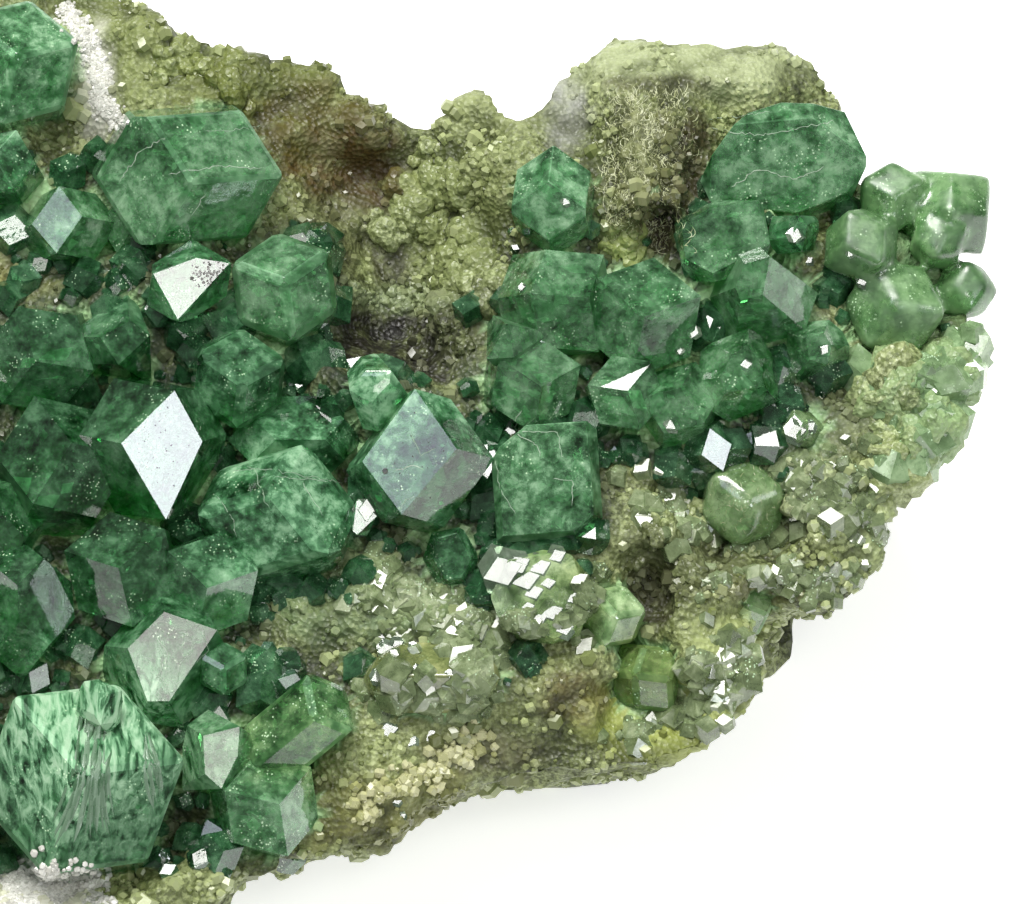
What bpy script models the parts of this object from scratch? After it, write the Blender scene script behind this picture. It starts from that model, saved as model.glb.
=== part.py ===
"""A cluster of demantoid garnet crystals on a slab of pale garnet rock.

The slab lies on its flat broken back and the crystals stand on its upper side. Places on the
show side are given in its own frame: across to the right, along up the slab, and out towards
someone who looks down on it at SHOW_ELEVATION. All sizes below are in millimetres.
"""

import math

import bmesh
import bpy
from mathutils import Matrix, Vector, geometry, noise

MM = 0.001
SHOW_ELEVATION = math.radians(60)
SHOW_HEIGHT = 18.0
VIEW_DISTANCE = 420.0
SOCKET_GAP = 0.25

ACROSS = Vector((1, 0, 0))
ALONG = Vector((0, math.sin(SHOW_ELEVATION), math.cos(SHOW_ELEVATION)))
OUT = Vector((0, -math.cos(SHOW_ELEVATION), math.sin(SHOW_ELEVATION)))


# The show frame

def show_point(across, along, out):
    """The place seen at across and along from VIEW_DISTANCE away, with Z up."""
    nearer = 1 - out / VIEW_DISTANCE
    return (Vector((0, 0, SHOW_HEIGHT)) + ACROSS * across * nearer + ALONG * along * nearer
            + OUT * out)


# The garnet habit: a rhombic dodecahedron, seen first with one rhombic face to the front and
# its long diagonal upright. Its twelve faces by where they then point.
HALF, SLANT = 0.5, math.sqrt(0.5)
FACES = {
    "front": (0, 0, 1), "back": (0, 0, -1), "top": (0, 1, 0), "bottom": (0, -1, 0),
    "upper_right": (SLANT, HALF, HALF), "lower_right": (SLANT, -HALF, HALF),
    "upper_left": (-SLANT, HALF, HALF), "lower_left": (-SLANT, -HALF, HALF),
    "back_upper_right": (SLANT, HALF, -HALF), "back_lower_right": (SLANT, -HALF, -HALF),
    "back_upper_left": (-SLANT, HALF, -HALF), "back_lower_left": (-SLANT, -HALF, -HALF),
}


def turned(turn):
    """The rotation by yaw to the right, pitch upwards and then roll against the clock."""
    yaw, pitch, roll = (math.radians(angle) for angle in turn)
    return (Matrix.Rotation(roll, 3, "Z") @ Matrix.Rotation(yaw, 3, "Y")
            @ Matrix.Rotation(-pitch, 3, "X"))


class Garnet:
    """A crystal given by its middle, its size from there to a face, and its turn in degrees.

    pulls are vectors by whose length the crystal grew longer each way. edge is how far out the
    narrow faces lie that cut the edges, as a share, and 1 leaves the edges sharp.
    """

    def __init__(self, middle, size, turn=(0, 0, 0), pulls=(), edge=1.0):
        self.middle = Vector(middle)
        self.planes = []
        for normal in FACES.values():
            normal = turned(turn) @ Vector(normal)
            reach = size + sum(abs(normal.dot(Vector(pull))) for pull in pulls)
            self.planes.append((normal, reach))
        self.main_planes = list(self.planes)
        if edge < 1.0:
            self.planes += edge_faces(self.planes, edge)


class FacedGarnet:
    """A crystal given by the outline of the one face that shows best.

    outline is that face against the clock as seen from the front, out is how far out its
    middle lies, turn is its yaw and pitch, and depth is the way from the face to the middle.
    The next faces meet it at the garnet's 120 degrees.
    """

    def __init__(self, outline, out, turn, depth):
        normal = turned((*turn, 0)) @ Vector((0, 0, 1))
        flat = [Vector((across, along, 0)) for across, along in outline]
        centre = sum(flat, Vector()) / len(flat)
        nearer = 1 - out / VIEW_DISTANCE
        corners = []
        for corner in flat:
            away = (corner - centre) * nearer
            away.z = -(normal.x * away.x + normal.y * away.y) / normal.z
            corners.append(away + normal * depth)
        self.middle = centre + Vector((0, 0, out))
        self.middle -= normal * depth
        self.planes = [(normal, depth), (-normal, depth)]
        for corner, after in zip(corners, corners[1:] + corners[:1]):
            side = (after - corner).cross(normal).normalized()
            lean = side * math.sin(math.radians(60)) + normal * math.cos(math.radians(60))
            self.planes += [(lean, lean.dot(corner)), (-lean, depth)]
        for before, corner, after in zip(corners[-1:] + corners, corners, corners[1:] + corners[:1]):
            if (before - corner).angle(after - corner) < math.radians(85):
                point = (corner - normal * depth)
                self.planes.append((point.normalized(), point.length))
        self.main_planes = self.planes


def edge_faces(faces, share):
    """The trapezohedral face between each two neighbours of the dodecahedron."""
    found = []
    for i, (a, reach_a) in enumerate(faces):
        for b, reach_b in faces[i + 1:]:
            if a.dot(b) > 0.4:
                edge_reach = (reach_a + reach_b) / (a + b).length
                found.append(((a + b).normalized(), edge_reach * share))
    return found


def cut_crystal(middle, planes, grow=0.0):
    """A bmesh of the crystal that these faces leave of a block, in metres with Z up."""
    solid = bmesh.new()
    bmesh.ops.create_cube(solid, size=4 * max(reach for _, reach in planes))
    for normal, reach in planes:
        reach += grow
        geometry = solid.verts[:] + solid.edges[:] + solid.faces[:]
        cut = bmesh.ops.bisect_plane(solid, geom=geometry, dist=1e-6, plane_co=normal * reach,
                                     plane_no=normal, clear_outer=True)
        rim = [item for item in cut["geom_cut"] if isinstance(item, bmesh.types.BMEdge)]
        if len(rim) > 2:
            bmesh.ops.contextual_create(solid, geom=rim)
    show_axes = Matrix((ACROSS, ALONG, OUT)).transposed()
    centre = show_point(*middle)
    for vert in solid.verts:
        vert.co = (centre + show_axes @ vert.co) * MM
    bmesh.ops.recalc_face_normals(solid, faces=solid.faces)
    return solid


# The crystals, each group being one solid that grew together
GARNETS = {
    # Upper left
    "corner_crystal": [
        Garnet((-27.3, 21.2, -5.5), 3.2, (-30, 5, 20), edge=0.97)],
    "large_top_crystal": [
        Garnet((-17.9, 15.3, -3.0), 3.5, (-28, -8, -2), pulls=[(1.1, 0, 0)], edge=0.98),
        Garnet((-20.9, 12.4, -4.0), 1.5, (-30, 0, 0)),
        FacedGarnet([(-26.3, 12.5), (-24.9, 10.9), (-23.5, 12.9), (-24.8, 14.6)],
                    -1.5, (-12, 10), 2.1)],
    "left_upper_crystal": [
        Garnet((-28.0, 15.5, -4.0), 1.8, (-20, 20, 70))],
    "warm_mirror_crystal": [
        FacedGarnet([(-19.7, 9.8), (-18.3, 7.2), (-15.4, 10.4), (-17.3, 10.7)],
                    1.8, (6, 4), 1.5)],
    "pocket_side_crystal": [
        Garnet((-12.5, 8.9, -1.5), 2.75, (-30, 5, 40), edge=0.95)],
    # The large cluster on the left
    "large_cluster": [
        FacedGarnet([(-21.3, 0.5), (-18.9, -3.7), (-16.9, 0.6), (-18.4, 3.4)],
                    5.0, (15, -6), 3.2),
        Garnet((-12.8, -3.7, 1.5), 2.8, (-20, 10, 75), pulls=[(1.3, -0.2, 0)], edge=0.94),
        Garnet((-11.9, 0.7, 0.0), 1.6, (0, 40, 90), pulls=[(1.5, 0, 0)]),
        Garnet((-15.1, 4.1, 0.5), 2.4, (-30, -10, 20), edge=0.94),
        FacedGarnet([(-22.5, 6.3), (-21.5, 4.8), (-19.8, 6.4), (-20.9, 7.2)],
                    1.8, (8, 10), 2.2),
        Garnet((-24.9, -1.0, 1.0), 3.2, (-20, 25, 10)),
        Garnet((-25.8, 5.2, -0.5), 2.7, (30, 0, 50)),
        Garnet((-28.8, -4.2, 2.5), 2.4, (10, -20, 10)),
        FacedGarnet([(-8.5, -2.5), (-8.8, -4.8), (-7.4, -3.5)], 2.8, (6, 6), 0.5),
        FacedGarnet([(-21.0, -10.7), (-19.9, -13.6), (-18.7, -13.6), (-16.1, -9.7),
                     (-19.0, -8.7)], 6.6, (0, 6), 2.6),
        Garnet((-21.3, -6.5, 3.0), 2.8, (-35, 5, 45)),
        Garnet((-16.7, -7.2, 3.0), 2.5, (-35, -5, 15)),
        Garnet((-15.9, -11.9, 5.2), 1.3, (-30, 0, 30), edge=0.94),
        Garnet((-22.7, -14.0, 8.6), 0.9, (-10, 20, 30), pulls=[(0.2, -0.6, 0)], edge=0.9),
        Garnet((-27.0, -8.6, 4.0), 1.9, (0, -40, 5), pulls=[(0.1, 1.2, 0)]),
        Garnet((-23.7, -18.3, 5.5), 4.9, (-30, 10, 15), edge=0.98)],
    # The middle
    "violet_face_crystals": [
        FacedGarnet([(-8.9, 3.4), (-7.7, 2.7), (-6.7, 3.8), (-6.6, 4.5), (-8.0, 4.5)],
                    4.4, (-6, 12), 1.9),
        FacedGarnet([(-8.2, -0.5), (-6.0, -3.4), (-3.0, 0.2), (-5.3, 3.5)],
                    4.6, (-14, 14), 2.7)],
    "slate_crystal": [
        FacedGarnet([(-4.3, -5.8), (-3.6, -7.0), (-2.7, -6.9), (-2.2, -5.9), (-3.0, -4.4),
                     (-4.1, -4.7)], 3.3, (4, 0), 1.1)],
    "block_crystal": [
        FacedGarnet([(-0.8, 1.4), (-0.5, -4.6), (3.4, -4.3), (4.5, -3.4), (4.1, 1.7)],
                    3.4, (6, -4), 2.0)],
    "stepped_mirror_crystal": [
        FacedGarnet([(-1.0, -6.0), (-1.2, -8.8), (2.3, -10.2), (3.4, -9.7), (4.2, -8.1),
                     (3.2, -5.4)], 4.6, (8, 2), 1.6)],
    "hollow_side_crystal": [
        Garnet((5.5, -9.0, 2.0), 1.6, (-30, 0, 10), edge=0.94)],
    # Upper middle and right
    "tall_crystal": [
        Garnet((2.3, 13.8, -2.5), 2.05, (-15, 8, 90), pulls=[(0, 0.3, 0)])],
    "middle_druse": [
        FacedGarnet([(-1.4, 5.1), (0.1, 5.2), (-0.2, 7.0)], 2.2, (-20, 0), 2.5),
        Garnet((1.0, 3.8, -0.5), 2.3, (-25, -10, 20)),
        Garnet((2.4, 8.2, -1.5), 2.7, (-10, -25, 45)),
        Garnet((7.2, 7.4, -1.5), 2.9, (-35, 0, 20)),
        FacedGarnet([(11.4, 4.1), (11.7, 3.3), (13.8, 3.6), (13.5, 5.1), (12.9, 5.9),
                     (12.1, 5.4)], 1.9, (4, 8), 1.9),
        Garnet((9.2, 2.5, 0.0), 1.9, (-10, 10, 70)),
        Garnet((6.2, 3.2, 0.3), 1.9, (-30, 0, 50))],
    "right_druse": [
        FacedGarnet([(9.3, 12.5), (9.5, 10.6), (11.0, 9.8), (14.1, 11.4), (13.5, 13.8),
                     (10.8, 13.4)], -0.8, (-8, 14), 1.6),
        FacedGarnet([(12.2, 9.0), (12.5, 8.3), (13.7, 8.6), (14.1, 10.7), (12.7, 10.3)],
                    1.5, (-14, 6), 2.9),
        FacedGarnet([(16.3, 5.1), (17.3, 4.8), (17.5, 5.9), (17.1, 6.5), (16.1, 6.2)],
                    0.6, (0, 8), 1.6)],
    "white_glint_crystal": [
        FacedGarnet([(15.8, 13.0), (15.3, 11.8), (15.9, 11.0), (16.2, 12.5)],
                    -0.4, (10, 0), 1.4)],
    "right_edge_druse": [
        Garnet((19.2, 11.4, -2.5), 1.8, (10, 10, 30)),
        Garnet((20.9, 14.0, -4.9), 1.75, (-35, 0, 30)),
        Garnet((24.0, 13.2, -5.5), 2.2, (0, -45, 40)),
        Garnet((23.4, 11.6, -4.0), 1.4, (-20, 20, 20), edge=0.94),
        Garnet((24.9, 8.9, -5.0), 1.5, (10, 10, 0), edge=0.92),
        Garnet((21.0, 7.8, -3.5), 2.5, (-35, 10, 0), edge=0.95)],
    "large_right_crystal": [
        FacedGarnet([(10.9, 17.8), (10.8, 13.5), (15.7, 13.1), (18.4, 14.2), (19.7, 16.0),
                     (16.4, 18.3)], -2.7, (4, -16), 2.4)],
    # The lower edge
    "white_face_crystals": [
        FacedGarnet([(-16.9, -15.5), (-16.8, -17.6), (-15.9, -18.4), (-15.0, -16.6),
                     (-14.9, -15.0)], 7.9, (2, 5), 1.9),
        Garnet((-11.8, -15.2, 5.4), 1.9, (-30, 10, -15), pulls=[(0.9, 0.8, 0)], edge=0.95),
        Garnet((-13.6, -19.4, 5.5), 2.5, (-20, -10, 40))],
    "rounded_crystal": [
        Garnet((-4.4, -12.4, 4.5), 1.4, (0, -40, 0), pulls=[(2.2, 0.1, 0)], edge=0.93)],
    "pale_block": [
        Garnet((7.4, -12.4, 1.6), 1.75, (-10, -30, 40), edge=0.95)],
    "pale_block_right": [
        Garnet((12.9, -8.4, -0.6), 1.3, (0, -45, 20), edge=0.96)],
    "pale_lump": [
        Garnet((12.7, -2.8, -0.8), 2.2, (-30, 0, 20), edge=0.92)],
    "white_shard": [
        Garnet((15.8, 1.2, -0.4), 1.1, (-10, 20, 10), edge=0.9)],
    # The side that the picture leaves out
    "left_cluster": [
        Garnet((-38.6, 12.8, -3.5), 3.6, (25, -10, 70), edge=0.96),
        Garnet((-33.9, 17.6, -5.2), 2.9, (30, 5, 15), edge=0.97),
        Garnet((-34.0, 9.4, -1.5), 2.3, (-10, 30, 40)),
        Garnet((-40.6, 6.5, -1.5), 2.9, (0, 40, 20)),
        Garnet((-43.9, 13.4, -4.5), 2.3, (35, 0, 45))],
    "outer_left_crystal": [
        Garnet((-35.2, 2.8, 0.5), 2.9, (-35, 0, 10))],
    "left_middle_crystal": [
        Garnet((-39.4, -3.6, 1.5), 3.1, (30, 0, -20), edge=0.97)],
    "lower_left_cluster": [
        Garnet((-34.2, -12.2, 5.5), 3.3, (-30, 10, 35)),
        Garnet((-40.4, -10.5, 3.5), 3.0, (35, -5, 0)),
        Garnet((-45.0, -14.5, 3.5), 2.6, (20, -30, 10))],
    "left_tip_crystal": [
        Garnet((-45.6, -5.6, 0.0), 2.1, (10, 20, 30))],
    "lower_left_crystal": [
        Garnet((-38.8, -19.3, 6.5), 3.2, (-10, 30, 20), edge=0.97)],
    "lowest_left_crystal": [
        Garnet((-32.0, -20.4, 7.5), 1.9, (30, 10, 60))],
}

# The slab's rim, clockwise in the show frame: the upper edge first, then the right and lower
# edges, and last the left end, which lies outside the picture
SLAB_OUTLINE = [
    (-46.3, 23.8), (-39.2, 27.1), (-31.5, 28.2), (-24.9, 26.2), (-21.0, 24.9), (-18.8, 22.9),
    (-16.6, 22.8), (-14.4, 22.1), (-12.2, 21.3), (-9.7, 20.7), (-7.8, 19.4), (-6.2, 18.1),
    (-4.5, 18.3), (-3.1, 19.2), (-1.8, 19.7), (-0.7, 18.7), (0.4, 18.5), (1.8, 19.5), (2.6, 20.7),
    (4.3, 21.7), (5.7, 22.7), (8.1, 22.8), (10.3, 22.4), (13.1, 22.7), (15.3, 22.6), (17.2, 21.3),
    (17.6, 19.4), (18.3, 16.6), (19.7, 14.4), (22.4, 13.6), (24.1, 12.2), (24.8, 10.6),
    (25.7, 8.4), (25.2, 7.0), (25.5, 5.3), (25.1, 4.0), (24.6, 2.9), (23.8, 0.7), (22.2, -1.3),
    (20.8, -2.4), (20.7, -4.3), (20.5, -5.9), (19.1, -7.9), (15.8, -9.0), (14.2, -8.7),
    (13.9, -10.3), (14.1, -12.0), (13.6, -13.6), (12.0, -15.0), (10.3, -16.4), (8.1, -17.2),
    (4.8, -17.5), (2.1, -18.0), (-1.8, -18.3), (-4.0, -19.1), (-5.1, -19.7), (-6.4, -21.6),
    (-10.0, -22.2), (-12.8, -23.0), (-15.0, -23.8), (-16.3, -25.2), (-19.9, -26.6), (-24.9, -28.2),
    (-31.5, -29.3), (-39.2, -26.8), (-44.7, -21.9), (-48.5, -16.9), (-51.3, -10.3), (-52.6, -2.6),
    (-52.9, 4.0), (-51.8, 11.1), (-50.2, 18.3),
]

SLAB_FALL = 0.33   # how much nearer the lower edge lies, for each millimetre down
RIM_DROP = 1.6
RIM_WIDTH = 1.8
GRID = 2.6         # the distance between the slab's points
GRID_SHIFT = 0.3   # how far a point may stray from the even pattern, as a share of GRID
# The slab's grain: how far apart its bumps lie, and how high they are
GRAIN = [(2.2, 0.55), (1.0, 0.28)]
# Rises and hollows: across, along, half width, half height, and how far out
SLAB_RELIEF = [
    (-6.5, 10.5, 5.0, 6.5, -3.6),   # the dark pocket
    (-9.0, 16.5, 3.0, 2.4, -1.4),   # the stained hollow
    (7.6, 15.8, 2.6, 5.2, 3.4),     # the wool-like column
    (8.2, 11.8, 1.2, 1.5, -3.4),    # the brown cavity beneath it
    (10.2, 21.2, 7.5, 1.8, 1.8),    # the top block
    (1.2, 18.6, 2.4, 1.9, 1.8),     # the lavender lump
    (-16.0, 22.0, 3.2, 2.4, 1.5),   # lumps on the upper rim
    (-9.8, 19.9, 2.6, 1.8, 1.2),
    (-27.0, 26.0, 4.0, 2.5, 1.2),
    (23.4, 3.0, 2.8, 6.0, 1.3),     # the pale right rim
    (8.0, -7.4, 1.5, 1.6, -2.6),    # the hollow beside the stepped crystal
    (11.5, -5.0, 3.2, 2.4, 0.9),
    (18.0, -3.0, 3.0, 4.0, 0.8),
    (-3.5, -8.9, 3.6, 2.2, 0.7),
    (0.5, -16.0, 5.0, 1.8, -1.0),
    (-22.0, -23.5, 5.0, 1.8, 0.9),
    (-42.0, 20.0, 4.0, 3.0, 1.4),
    (-46.0, -1.0, 2.5, 3.0, -1.6),
    (-30.0, -27.0, 5.0, 2.0, 1.0),
]


def slab_height(across, along, rim_distance):
    """How far out the slab's upper side lies at a place of the show frame."""
    out = -SLAB_FALL * along
    for middle, height, half_width, half_height, rise in SLAB_RELIEF:
        away = math.hypot((across - middle) / half_width, (along - height) / half_height)
        out += rise * math.exp(-away ** 4)
    for spacing, rise in GRAIN:
        out += rise * noise.noise(Vector((across, along, 0)) / spacing)
    out -= RIM_DROP * math.exp(-(rim_distance / RIM_WIDTH) ** 2)
    for garnet in (garnet for group in GARNETS.values() for garnet in group):
        size = garnet.planes[0][1]
        away = math.hypot(across - garnet.middle.x, along - garnet.middle.y) / size
        if away < 1.6:
            foot = garnet.middle.z - size * (0.25 + 0.35 * max(0.0, away - 0.6))
            out = max(out, foot - size * 0.3)
            if away < 1.25:
                out = min(out, foot)
    return out


def rim_points():
    """The slab's rim with a point about every GRID, slightly uneven."""
    points = []
    for here, there in zip(SLAB_OUTLINE, SLAB_OUTLINE[1:] + SLAB_OUTLINE[:1]):
        here, there = Vector(here), Vector(there)
        steps = max(1, round((there - here).length / GRID))
        for step in range(steps):
            place = here.lerp(there, step / steps)
            shift = noise.noise(Vector((place.x, place.y, 3)) * 0.8) * 0.35
            across = (there - here).orthogonal().normalized()
            points.append(place + across * shift)
    return points


def rim_distance(place, rim):
    """How far a place lies from the rim, and whether it is inside it."""
    nearest, inside = 1e9, False
    for here, there in zip(rim, rim[1:] + rim[:1]):
        along = there - here
        share = min(1.0, max(0.0, (place - here).dot(along) / along.length_squared))
        nearest = min(nearest, (place - here - along * share).length)
        if (here.y > place.y) != (there.y > place.y):
            if place.x < here.x + (place.y - here.y) * along.x / along.y:
                inside = not inside
    return nearest, inside


# The slab's sides go in under the rim: how far down each row of points lies and how far in, both
# as shares of the way to the base. The base's outline is a smaller copy of the rim's.
SIDE_ROWS = [(0.12, 0.02), (0.3, 0.12), (0.52, 0.34), (0.76, 0.64), (1.0, 1.0)]
# The hollows in the broken sides: how wide they are, and how deep
SIDE_HOLLOWS = [(7.7, 4.2), (2.2, 1.3)]
BASE_MIDDLE = Vector((-12.0, 3.0, 0.0))
BASE_SHARE = (0.86, 0.72)


def slab_mesh():
    """The slab as a closed bmesh in metres, before the crystals' sockets."""
    rim = rim_points()
    points = list(rim)
    rows = int(70 / GRID)
    for row in range(-rows, rows):
        for column in range(-rows, rows):
            place = Vector(((column + 0.5 * (row % 2)) * GRID - 12, row * GRID * 0.87))
            across_shift = noise.noise(Vector((place.x, place.y, 1)) * 0.9)
            along_shift = noise.noise(Vector((place.x, place.y, 9)) * 0.9)
            place += Vector((across_shift, along_shift)) * GRID_SHIFT * GRID
            distance, inside = rim_distance(place, rim)
            if inside and distance > 0.55 * GRID:
                points.append(place)
    found = geometry.delaunay_2d_cdt(points, [], [list(range(len(rim)))], 1, 1e-5)
    slab = bmesh.new()
    top = []
    for place in found[0]:
        height = slab_height(place.x, place.y, rim_distance(place, rim)[0])
        top.append(slab.verts.new(show_point(place.x, place.y, height)))
    for corners in found[2]:
        slab.faces.new([top[corner] for corner in corners])
    above = top[:len(rim)]
    edge = [vert.co.copy() for vert in above]
    for down, inward in SIDE_ROWS:
        row = []
        for place in edge:
            foot = Vector((BASE_MIDDLE.x + (place.x - BASE_MIDDLE.x) * BASE_SHARE[0],
                           BASE_MIDDLE.y + (place.y - BASE_MIDDLE.y) * BASE_SHARE[1], 0))
            spot = place.lerp(foot, inward)
            spot.z = place.z * (1 - down)
            if down < 1:
                inwards = (Vector((BASE_MIDDLE.x, BASE_MIDDLE.y, spot.z)) - spot).normalized()
                spot += inwards * sum(depth * abs(noise.noise(spot / width))
                                      for width, depth in SIDE_HOLLOWS)
            row.append(slab.verts.new(spot))
        for i in range(len(rim)):
            j = (i + 1) % len(rim)
            slab.faces.new((above[i], above[j], row[j], row[i]))
        above = row
    slab.faces.new(above)
    for vert in slab.verts:
        vert.co *= MM
    bmesh.ops.recalc_face_normals(slab, faces=slab.faces)
    return slab


# Making the objects

def new_object(name, solid):
    mesh = bpy.data.meshes.new(name)
    solid.to_mesh(mesh)
    solid.free()
    made = bpy.data.objects.new(name, mesh)
    bpy.context.scene.collection.objects.link(made)
    return made


def combine(target, tools, operation):
    """Join the tools to the target or cut them out of it, and clear them away."""
    for tool in tools:
        modifier = target.modifiers.new("combine", "BOOLEAN")
        modifier.object, modifier.operation, modifier.solver = tool, operation, "EXACT"
    bpy.context.view_layer.update()
    seen = target.evaluated_get(bpy.context.evaluated_depsgraph_get())
    mesh = bpy.data.meshes.new_from_object(seen)
    target.modifiers.clear()
    target.data = mesh
    for tool in tools:
        bpy.data.objects.remove(tool)


def keep_largest(made):
    """Drop loose chips that the sockets leave behind."""
    solid = bmesh.new()
    solid.from_mesh(made.data)
    left, islands = set(solid.verts), []
    while left:
        island, front = set(), [left.pop()]
        while front:
            vert = front.pop()
            island.add(vert)
            for edge in vert.link_edges:
                other = edge.other_vert(vert)
                if other in left:
                    left.remove(other)
                    front.append(other)
        islands.append(island)
    largest = max(islands, key=len)
    loose = [vert for island in islands if island is not largest for vert in island]
    bmesh.ops.delete(solid, geom=loose, context="VERTS")
    solid.to_mesh(made.data)
    solid.free()


def give_material(made, colour, roughness):
    material = bpy.data.materials.new(made.name)
    material.use_nodes = True
    shader = material.node_tree.nodes["Principled BSDF"]
    shader.inputs["Base Color"].default_value = (*colour, 1)
    shader.inputs["Roughness"].default_value = roughness
    shader.inputs["Metallic"].default_value = 0.0
    made.data.materials.clear()
    made.data.materials.append(material)


def middle_of_base(made):
    """The middle of the underside of the box around these objects."""
    spots = [vert.co for one in made for vert in one.data.vertices]
    low = Vector([min(spot[axis] for spot in spots) for axis in range(3)])
    high = Vector([max(spot[axis] for spot in spots) for axis in range(3)])
    return Vector(((low.x + high.x) / 2, (low.y + high.y) / 2, low.z))


def place_by_location(made, middle):
    """Put the object's origin into the middle of its first crystal."""
    place = show_point(*middle) * MM
    made.data.transform(Matrix.Translation(-place))
    made.location = place


GARNET_GREEN = (0.06, 0.20, 0.11)
PALE_GARNET_GREEN = (0.30, 0.42, 0.22)
SLAB_GREEN = (0.42, 0.46, 0.26)
PALE_GARNETS = {"rounded_crystal", "hollow_side_crystal", "pale_block", "pale_block_right",
                "pale_lump", "white_shard", "block_crystal", "stepped_mirror_crystal"}


def main():
    for old in list(bpy.data.objects):
        bpy.data.objects.remove(old)
    slab = new_object("slab", slab_mesh())
    cutters = []
    clusters = []
    for name, garnets in GARNETS.items():
        socket, *others = [
            new_object("socket", cut_crystal(garnet.middle, garnet.main_planes, SOCKET_GAP))
            for garnet in garnets]
        combine(socket, others, "UNION")
        cutters.append(socket)
        cluster, *others = [new_object(name, cut_crystal(garnet.middle, garnet.planes))
                            for garnet in garnets]
        combine(cluster, others, "UNION")
        cluster.name = name
        give_material(cluster, PALE_GARNET_GREEN if name in PALE_GARNETS else GARNET_GREEN, 0.08)
        clusters.append(cluster)
    combine(slab, cutters, "DIFFERENCE")
    keep_largest(slab)
    give_material(slab, SLAB_GREEN, 0.75)

    base = middle_of_base([slab, *clusters])
    slab.location -= base
    for cluster in clusters:
        place_by_location(cluster, GARNETS[cluster.name][0].middle)
        cluster.location -= base


if __name__ == "__main__":
    main()
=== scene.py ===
import math
import random

import bmesh
import bpy
import numpy as np
from mathutils import Matrix, Vector, noise
from mathutils.bvhtree import BVHTree


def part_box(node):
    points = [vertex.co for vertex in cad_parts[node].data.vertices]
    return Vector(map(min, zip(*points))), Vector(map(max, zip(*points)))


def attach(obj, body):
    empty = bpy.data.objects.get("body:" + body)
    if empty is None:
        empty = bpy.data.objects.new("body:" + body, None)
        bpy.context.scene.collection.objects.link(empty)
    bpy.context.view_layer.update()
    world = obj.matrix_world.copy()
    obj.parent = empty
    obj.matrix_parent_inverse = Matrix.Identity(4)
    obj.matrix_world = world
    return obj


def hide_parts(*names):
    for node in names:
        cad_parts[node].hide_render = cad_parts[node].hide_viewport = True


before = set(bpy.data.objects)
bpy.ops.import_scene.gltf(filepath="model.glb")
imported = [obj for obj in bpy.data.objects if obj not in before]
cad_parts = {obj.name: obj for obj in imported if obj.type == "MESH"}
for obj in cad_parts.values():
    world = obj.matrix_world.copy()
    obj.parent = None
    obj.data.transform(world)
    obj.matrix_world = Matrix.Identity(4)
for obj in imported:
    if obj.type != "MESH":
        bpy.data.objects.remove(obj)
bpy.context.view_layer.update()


# The view. The specimen lies on its broken back, and the camera looks down on the crystals
# from the front. Places on that side are given as across, along and out, in millimetres.
MM = 0.001
ELEVATION = math.radians(60)
PICTURE_MIDDLE = Vector((13.0286, -0.8214, 18.0)) * MM
VIEW_DISTANCE = 420.0
PICTURE_WIDTH = 56.3
SENSOR = 36.0
ACROSS = Vector((1, 0, 0))
ALONG = Vector((0, math.sin(ELEVATION), math.cos(ELEVATION)))
OUT = Vector((0, -math.cos(ELEVATION), math.sin(ELEVATION)))
EYE_PLACE = PICTURE_MIDDLE + OUT * VIEW_DISTANCE * MM


def show_point(across, along, out):
    nearer = 1 - out / VIEW_DISTANCE
    return PICTURE_MIDDLE + (ACROSS * across * nearer + ALONG * along * nearer + OUT * out) * MM


def show_places(points):
    """Across, along and out for each row of an array of points in metres."""
    away = (points - np.array(PICTURE_MIDDLE)) / MM
    out = away @ np.array(OUT)
    nearer = 1 - out / VIEW_DISTANCE
    return np.stack([away @ np.array(ACROSS) / nearer, away @ np.array(ALONG) / nearer, out], 1)


eye = bpy.data.objects.new("eye", bpy.data.cameras.new("eye"))
bpy.context.scene.collection.objects.link(eye)
eye.location = EYE_PLACE
eye.rotation_euler = (math.radians(90) - ELEVATION, 0, 0)
eye.data.sensor_width = SENSOR
eye.data.lens = SENSOR * VIEW_DISTANCE / PICTURE_WIDTH
eye.data.clip_start = 0.01
bpy.context.scene.camera = eye


# The light. A dim white room and a broad key panel high on the left, where hardly any crystal
# face mirrors it. Smaller panels stand where the level faces of the real piece mirror them.
ROOM = 0.14
MOST_BOUNCES = 8
# Each panel's turn and tilt from the view, its distance, size, radiance and colour
PANELS = {
    "key_panel": ((-21, 54), 620, (380, 340), 13.0, (1.0, 0.985, 0.96)),
    "fill_panel": ((44, 12), 620, (190, 260), 3.5, (0.97, 0.99, 1.0)),
    "mirror_panel": ((11.5, 10), 640, (150, 105), 8.5, (1.0, 0.98, 0.96)),
    "rose_panel": ((-2.5, 9), 640, (150, 150), 3.6, (1.0, 0.92, 0.92)),
    "low_mirror_panel": ((29, -12), 620, (130, 120), 9.5, (0.90, 0.94, 1.0)),
    "small_mirror_panel": ((-12, 23), 640, (60, 60), 9.0, (1.0, 0.97, 0.94)),
    "violet_panel": ((-26, 25), 600, (190, 170), 2.6, (0.80, 0.82, 1.0)),
}
room = bpy.data.worlds.new("room")
room.use_nodes = True
room.node_tree.nodes["Background"].inputs["Color"].default_value = (1, 1, 1, 1)
room.node_tree.nodes["Background"].inputs["Strength"].default_value = ROOM
bpy.context.scene.world = room
bpy.context.scene.view_settings.view_transform = "Standard"
bpy.context.scene.cycles.max_bounces = MOST_BOUNCES
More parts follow.
